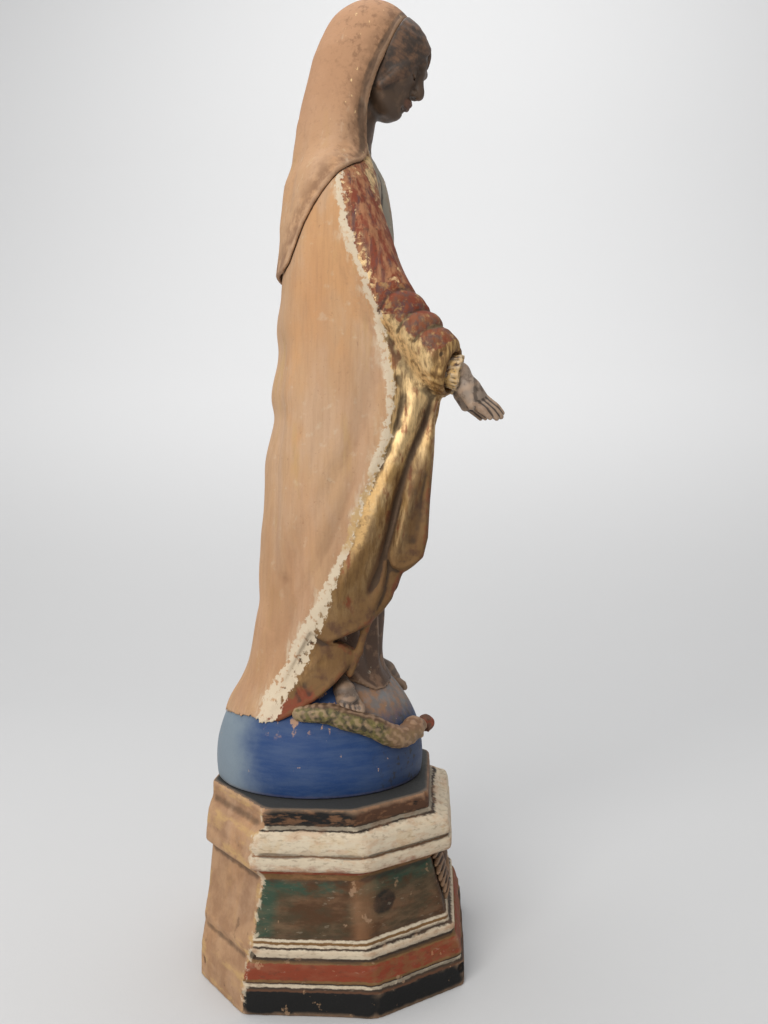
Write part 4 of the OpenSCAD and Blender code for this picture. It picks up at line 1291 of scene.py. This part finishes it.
def serpent_paint():
    p = Paint("serpent_paint")
    tone = p.mix("serpent", "olive", p.patches(3, 101, 0.36, 0.62, 9))
    tone = p.mix(tone, "ochre", p.patches(1.4, 102, 0.56, 0.7, 8), 0.35)
    tone = p.mix(tone, "bole_brown", p.step(p.wobble(p.attr("crest"), 2, 0.8, 103), 2.0, 3.2), 0.8)
    tone = p.mix(tone, "clay_dark", p.step(p.f, 22, 27), 0.6)
    return p.done(p.hollows_and_edges(tone, 1.2), 0.6, 0.0, 0.3, 0.9, shine=0.4)


def plain_paint(name, first, second, size, rough=0.7, shine=0.3):
    """Two colours in soft patches, which differ from one name to the next by its length."""
    p = Paint(name)
    tone = p.mix(first, second, p.patches(size, len(name), 0.42, 0.62, 6))
    return p.done(tone, rough, 0.0, 0.15, 0.9, shine=shine)


def wood_paint():
    p = Paint("turned_wood")
    tone = p.mix("wood", "clay_dark", p.patches(2.5, 5, 0.4, 0.7, up=0.08))
    return p.done(tone, 0.6, 0.0, 0.1, 1)


# The plinth's painted bands, from the floor up: (height where the band starts, colour)
BANDS = [
    (0, "black"), (8.7, "bole_brown"), (9.4, "dark_umber"), (10.1, "white"), (11.2, "dark_umber"),
    (11.8, "gold_low"), (12.7, "red"), (18.1, "gold_low"), (19.1, "dark_umber"), (20.0, "white"),
    (22.9, "dark_umber"), (23.5, "gesso"), (24.4, "gold_low"), (25.4, "white"), (26.2, "green"),
    (46.9, "gold_low"), (49.4, "bole"), (50.6, "white"), (56.0, "clay_dark"), (56.6, "white"),
    (63.3, "gesso"), (64.6, "black"), (65.1, "white"), (66.3, "black"),
]


def plinth_paint():
    p = Paint("plinth_paint")
    height = p.wobble(p.wobble(p.h, 16, 0.6, 111), 2.2, 0.5, 112, 7)
    tone = BANDS[0][1]
    for start, name in BANDS[1:]:
        tone = p.mix(tone, name, p.step(height, start - 0.2, start + 0.2))
    die = p.both(p.step(height, 26, 27), p.step(height, 47.4, 46.4))
    smear = p.patches(11, 130, 0.42, 0.56, 8, up=1.4, across=0.6)
    high_up = p.math("MAXIMUM", p.step(p.wobble(p.h, 6, 3, 122), 39, 45),
                     p.both(p.step(p.attr("rear"), -9, -4), 0.8))
    teal = p.both(die, smear, p.math("ADD", 0.25, p.both(high_up, 0.75)))
    tone = p.mix(tone, "clay_dark", die, p.patches(7, 114, 0.44, 0.62, 9, up=1.6, across=0.5), 0.3)
    tone = p.mix(tone, "teal", teal, 0.75)
    off_f, off_h = (p.math("SUBTRACT", p.f, 23.5), p.math("SUBTRACT", p.h, 37))
    blot = p.math("SQRT", p.math("ADD", p.both(off_f, off_f), p.both(off_h, off_h)))
    tone = p.mix(tone, "black", p.step(p.wobble(blot, 4, 1, 133), 4.4, 3.2), die, 0.75)
    rubbed = p.both(p.patches(5, 113, 0.46, 0.7, 8, up=1.5, across=0.4), p.step(height, 9, 10))
    tone = p.mix(tone, "clay_dark", rubbed, p.step(height, 66, 65), 0.2)
    stains = p.patches(1.6, 128, 0.5, 0.68, 9, up=1.4, across=0.5)
    tone = p.mix(tone, "bole_brown", stains, p.step(height, 9.5, 10.5), 0.4)
    smudge = p.both(p.step(height, 56.4, 57), p.patches(8, 129, 0.5, 0.6, 8))
    tone = p.mix(tone, "ochre", smudge, p.step(height, 64, 62), 0.25)
    light = p.both(p.patches(2.2, 115, 0.62, 0.68, 9, up=1.5, across=0.5), p.step(height, 9, 10))
    tone = p.mix(tone, "white", light, p.step(height, 67, 65), 0.15)
    band = p.both(p.step(height, 66.2, 67), p.step(p.wobble(p.f, 6, 3, 131, 7), 12, 15))
    band_tone = p.mix("bole_brown", "black", p.patches(4, 132, 0.56, 0.62, 8, across=0.5))
    tone = p.mix(tone, band_tone, band, 0.9)
    smeared = p.both(p.step(p.wobble(p.h, 3, 1.5, 134), 54, 52), p.step(height, 50, 50.8))
    tone = p.mix(tone, "red", smeared, p.patches(5, 135, 0.46, 0.6, 9, across=0.4), 0.7)
    gilt = p.both(p.step(height, 12, 12.6), p.step(height, 19, 18.4),
                  p.step(p.wobble(p.f, 8, 6, 136), 10, 22))
    tone = p.mix(tone, "gold_low", gilt, p.patches(2, 137, 0.44, 0.6, 9, across=0.5), 0.5)
    off_arris = p.math("ABSOLUTE", p.math("SUBTRACT", p.wobble(p.f, 8, 3, 138), 16))
    tone = p.mix(tone, "rust", die, p.step(off_arris, 6, 1), 0.3)
    tone = p.mix(tone, p.clay(), p.patches(6, 116, 0.64, 0.68, 5), 0.4)
    under = p.both(p.patches(4, 139, 0.5, 0.62, 6, up=1.6, across=0.5), p.step(height, 46, 48))
    tone = p.mix(tone, "rust", under, 0.3)
    # edges rubbed to dark clay, partly worn paint, partly a painted highlight along the black top edge
    edge = p.step(p.wobble(p.attr("bend"), 2.4, 0.04, 117, 7), 0.06, 0.12)
    tone = p.mix(tone, "clay_dark", edge, 0.75)
    tone = p.mix(tone, "slate", p.step(p.attr("top"), 0.5, 0.8))
    # the bare back, with ochre brushed along its ridges, which also paints a highlight on each ridge
    shade = p.both(p.patches(9, 124, 0.36, 0.66, 9), 0.5)
    bare = p.mix(p.clay(), "clay_dark", p.math("ADD", 0.38, shade))
    ridge = p.step(p.wobble(p.attr("bend"), 6, 0.02, 125), 0.0, 0.03)
    strokes = p.both(p.patches(6, 118, 0.46, 0.58, 8, up=1.3, across=0.35), ridge)
    bare = p.mix(bare, "ochre", strokes, 0.8)
    bare = p.mix(bare, "dark_umber", p.patches(5, 119, 0.62, 0.72, 9), 0.4)
    bare = p.mix(bare, "slate", p.step(p.attr("top"), 0.6, 0.9))
    border = p.wobble(p.wobble(p.attr("rear"), 6, 2.2, 120), 1.8, 1.0, 126, 7)
    tone = p.mix(tone, bare, p.step(border, -0.4, 0.4))
    chipped = p.both(p.step(border, -1.6, -0.6), p.step(border, 1.4, 0.4),
                     p.step(p.attr("top"), 0.5, 0.2))
    tone = p.mix(tone, "gesso", chipped, p.patches(3, 127, 0.5, 0.56, 7), 0.6)
    return p.done(p.hollows_and_edges(tone, 0.8), 0.7, 0.0, 0.35, 1.4, shine=0.2)


def ornament_paint():
    p = Paint("ornament_paint")
    tone = p.mix("robe_brown", "clay_dark", p.patches(5, 121, 0.46, 0.62, 7), 0.4)
    tone = p.mix(tone, "gold_low", p.step(p.attr("bend"), 0.05, 0.12), 0.35)
    return p.done(p.hollows_and_edges(tone, 1.2), 0.65, 0.2, 0.2, 1)


# ---- Putting it together ----


def mouth_marks(x, f, z):
    """How far a point lies beyond a sleeve's mouth, along the sleeve; -30 away from both mouths."""
    marks = np.full(len(x), -30.0)
    for side in (-1, 1):
        origin, across, up, along = wrist_frame(side, MOUTH_PITCH, MOUTH_TOE)
        offset = np.stack([x, f, z], axis=1) - origin
        beyond = offset @ along
        off_axis = np.hypot(offset @ across, offset @ up)
        marks = np.where((off_axis < 13) & (beyond > -12), beyond, marks)
    return marks


def mantle_marks(x, f, z, n):
    arm, _ = near_line(f, z, np.array([[p[1], p[2]] for p in ARM[:5]], float))
    fold = relief(f, z, SIDE_FOLDS) - 0.5 * ease(-outline(f, z, PANEL_STEP) / 1.4)
    sleeve = z - lookup(f, FOREARM)
    return {"strip": (f - lookup(z, STRIP)) * 0.9, "fold": fold,
            "sleeve": np.where((f > 20) & (z < 268), sleeve, -20),
            "rim": np.where((z > 150) | (f > -18), outline(f, z, MANTLE_EDGE), -30),
            "arm": np.where(z > 256, arm - 13, 20), "mouth": mouth_marks(x, f, z)}


def veil_marks(x, f, z, n):
    ahead = f - lookup(z, VEIL_MID)
    facing = (n[:, 0] * x + n[:, 1] * ahead) / (np.hypot(x, ahead) + 1e-6)
    # inner marks the veil's inward-facing side, which its paint darkens as painted shade
    return {"rim": outline(f, z, VEIL_EDGE), "inner": np.where(facing < -0.2, 1.0, 0.0)}


def head_marks(x, f, z, n):
    _, ahead, up = head_frame(x, f, z)
    side = np.abs(x)
    hair = ease((up - hairline(side) + 0.5) / 0.8)
    lock = np.array([[0.8, 13.4], [4.4, 9.8], [8.6, 2.8], [11.6, -5.6], [12.9, -13.6]])
    hair = np.maximum(hair, ease((1.7 - near_line(side, up, lock)[0]) / 0.6))
    hair = np.where((up < -17) | ((side < 9) & (ahead < 12) & (up < -8)), 0.0, hair)
    lips = ease(1 - (np.hypot(side / 4.2, (up + 11.4) / 2.0) - 0.8) / 0.4) * (ahead > 13)
    brow_line = near_line(side, up, np.array([[2.0, 4.6], [5.4, 5.6], [9.4, 4.4]]))[0]
    brow = ease(1 - (brow_line - 0.25) / 0.5) * (ahead > 8)
    return {"hair": hair, "lips": lips, "brow": brow, "parting": outline(f, z, VEIL_EDGE),
            "strand": strands(side, ahead, up)}


def serpent_marks(x, f, z, n):
    bearings, heights, _ = np.transpose(SERPENT[::-1])
    return {"crest": z - np.interp(np.arctan2(-x, f - GLOBE_F), np.radians(bearings), heights)}


def plinth_marks(x, f, z, n):
    arris = FOOT[2][1] + lookup(z, MOULDINGS) * (TOP[2][1] - FOOT[2][1])
    return {"rear": arris - f, "top": np.where((n[:, 2] > 0.8) & (z > PLINTH_TOP - 0.6), 1.0, 0.0)}


def build():
    feet, hands, cuffs = skin_paint("foot_skin"), skin_paint("hand_skin"), cuff_paint()
    right_foot = make_foot(-62, 24, (-27.5, 6, 111.5), (-46, -18, 100), (-18, 6, 120))
    left_foot = make_foot(28, 34, (16.4, 19, 112), (6, -40, 98), (30, -10, 121))
    # node, block, marks, paint, body, slot
    rows = [
        ("mantle", make_mantle(), mantle_marks, mantle_paint(), "figure", "bare_clay"),
        ("veil", make_veil(), veil_marks, veil_paint(), "figure", "bare_clay"),
        ("robe", make_robe(), None, robe_paint(), "figure", "silver_paint"),
        ("head", make_head(), head_marks, head_paint(), "figure", "flesh_paint"),
        ("globe", make_globe(), None, globe_paint(), "figure", "blue_paint"),
        ("serpent", make_serpent(), serpent_marks, serpent_paint(), "figure", "green_paint"),
        ("apple", make_apple(), None, plain_paint("apple_paint", "apple", "bole", 3), "figure", "red_bole"),
        ("right_foot", right_foot, None, feet, "figure", "flesh_paint"),
        ("left_foot", left_foot, None, feet, "figure", "flesh_paint"),
        ("plinth", make_plinth(), plinth_marks, plinth_paint(), "plinth", "painted_clay"),
        ("plinth_ornament", make_ornament(), None, ornament_paint(), "plinth", "painted_clay"),
    ]
    for side, name in ((-1, "right"), (1, "left")):
        rows.append((name + "_hand", make_hand(side), None, hands, "figure", "flesh_paint"))
        rows.append((name + "_cuff", make_cuff(side), None, cuffs, "figure", "gold_leaf"))
    for node, block, marks, paint, body, slot in rows:
        name = "ornament_skin" if node == "plinth_ornament" else node + "_skin"
        piece = carve_piece(name, block, marks)
        piece.data.materials.append(paint)
        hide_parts(node)
        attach(piece, body)


def dress_frame():
    """Finishes for the inner pieces, which keep their CAD shapes."""
    wood, iron = wood_paint(), plain_paint("iron_wire", "iron", "bole_brown", 2, 0.5, 0.5)
    plaster = plain_paint("plaster", "gesso", "white", 6, 0.9)
    for node, material in (("seat_peg", wood), ("neck_dowel", wood), ("globe_plug", plaster),
                           ("right_hand_pin", iron), ("left_hand_pin", iron)):
        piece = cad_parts[node]
        piece.data.materials.clear()
        piece.data.materials.append(material)


def add_light(name, place, target, size, power, colour=(1, 1, 1)):
    data = bpy.data.lights.new(name, "AREA")
    data.shape = "SQUARE"
    data.size = size
    data.energy = power
    data.color = colour
    light = linked(name, data)
    light.location = place
    light.rotation_euler = (Vector(target) - Vector(place)).to_track_quat("-Z", "Y").to_euler()


def add_studio():
    """A white sheet that lies under the statue and sweeps up behind it, lit softly from the left."""
    floor_x, wall_x, rise = 0.45, 1.35, 2.2
    steps = [k / 12 for k in range(13)]
    radius = wall_x - floor_x
    bend = [(floor_x + radius * math.sin(t * math.pi / 2), radius * (1 - math.cos(t * math.pi / 2)))
            for t in steps]
    line = [(-1.6, 0), *bend, (wall_x, rise)]
    mesh = bpy.data.meshes.new("sweep")
    corners = [(x, side * 2.4, z) for x, z in line for side in (-1, 1)]
    mesh.from_pydata(corners, [], [(2 * k, 2 * k + 1, 2 * k + 3, 2 * k + 2) for k in range(len(line) - 1)])
    mesh.polygons.foreach_set("use_smooth", [True] * len(mesh.polygons))
    p = Paint("white_sheet")
    # the sheet painted darker on the floor and lighter up the wall: painted shade and painted light
    tone = p.mix("sheet_floor_shade", "sheet_wall_light", p.step(p.h, 0, 420))
    mesh.materials.append(p.done(tone, 0.95, 0.0, 0.1, 0.8, shine=0.1))
    linked("sweep", mesh)
    add_light("key", (-1.15, 0.46, 0.85), (0, 0, 0.15), 0.75, 12.6, (1.0, 0.985, 0.96))
    add_light("overhead", (0.1, 0.25, 1.5), (0.1, 0, 0), 1.0, 6)
    add_light("wall_wash", (0.35, -0.08, 1.5), (1.3, -0.1, 0.35), 0.9, 6.5)
    world = bpy.data.worlds.new("room")
    world.use_nodes = True
    background = world.node_tree.nodes["Background"]
    background.inputs["Color"].default_value = (0.97, 0.98, 1.0, 1)
    background.inputs["Strength"].default_value = 0.43
    bpy.context.scene.world = world


build()
dress_frame()
add_studio()
bpy.context.scene.view_settings.view_transform = "Standard"
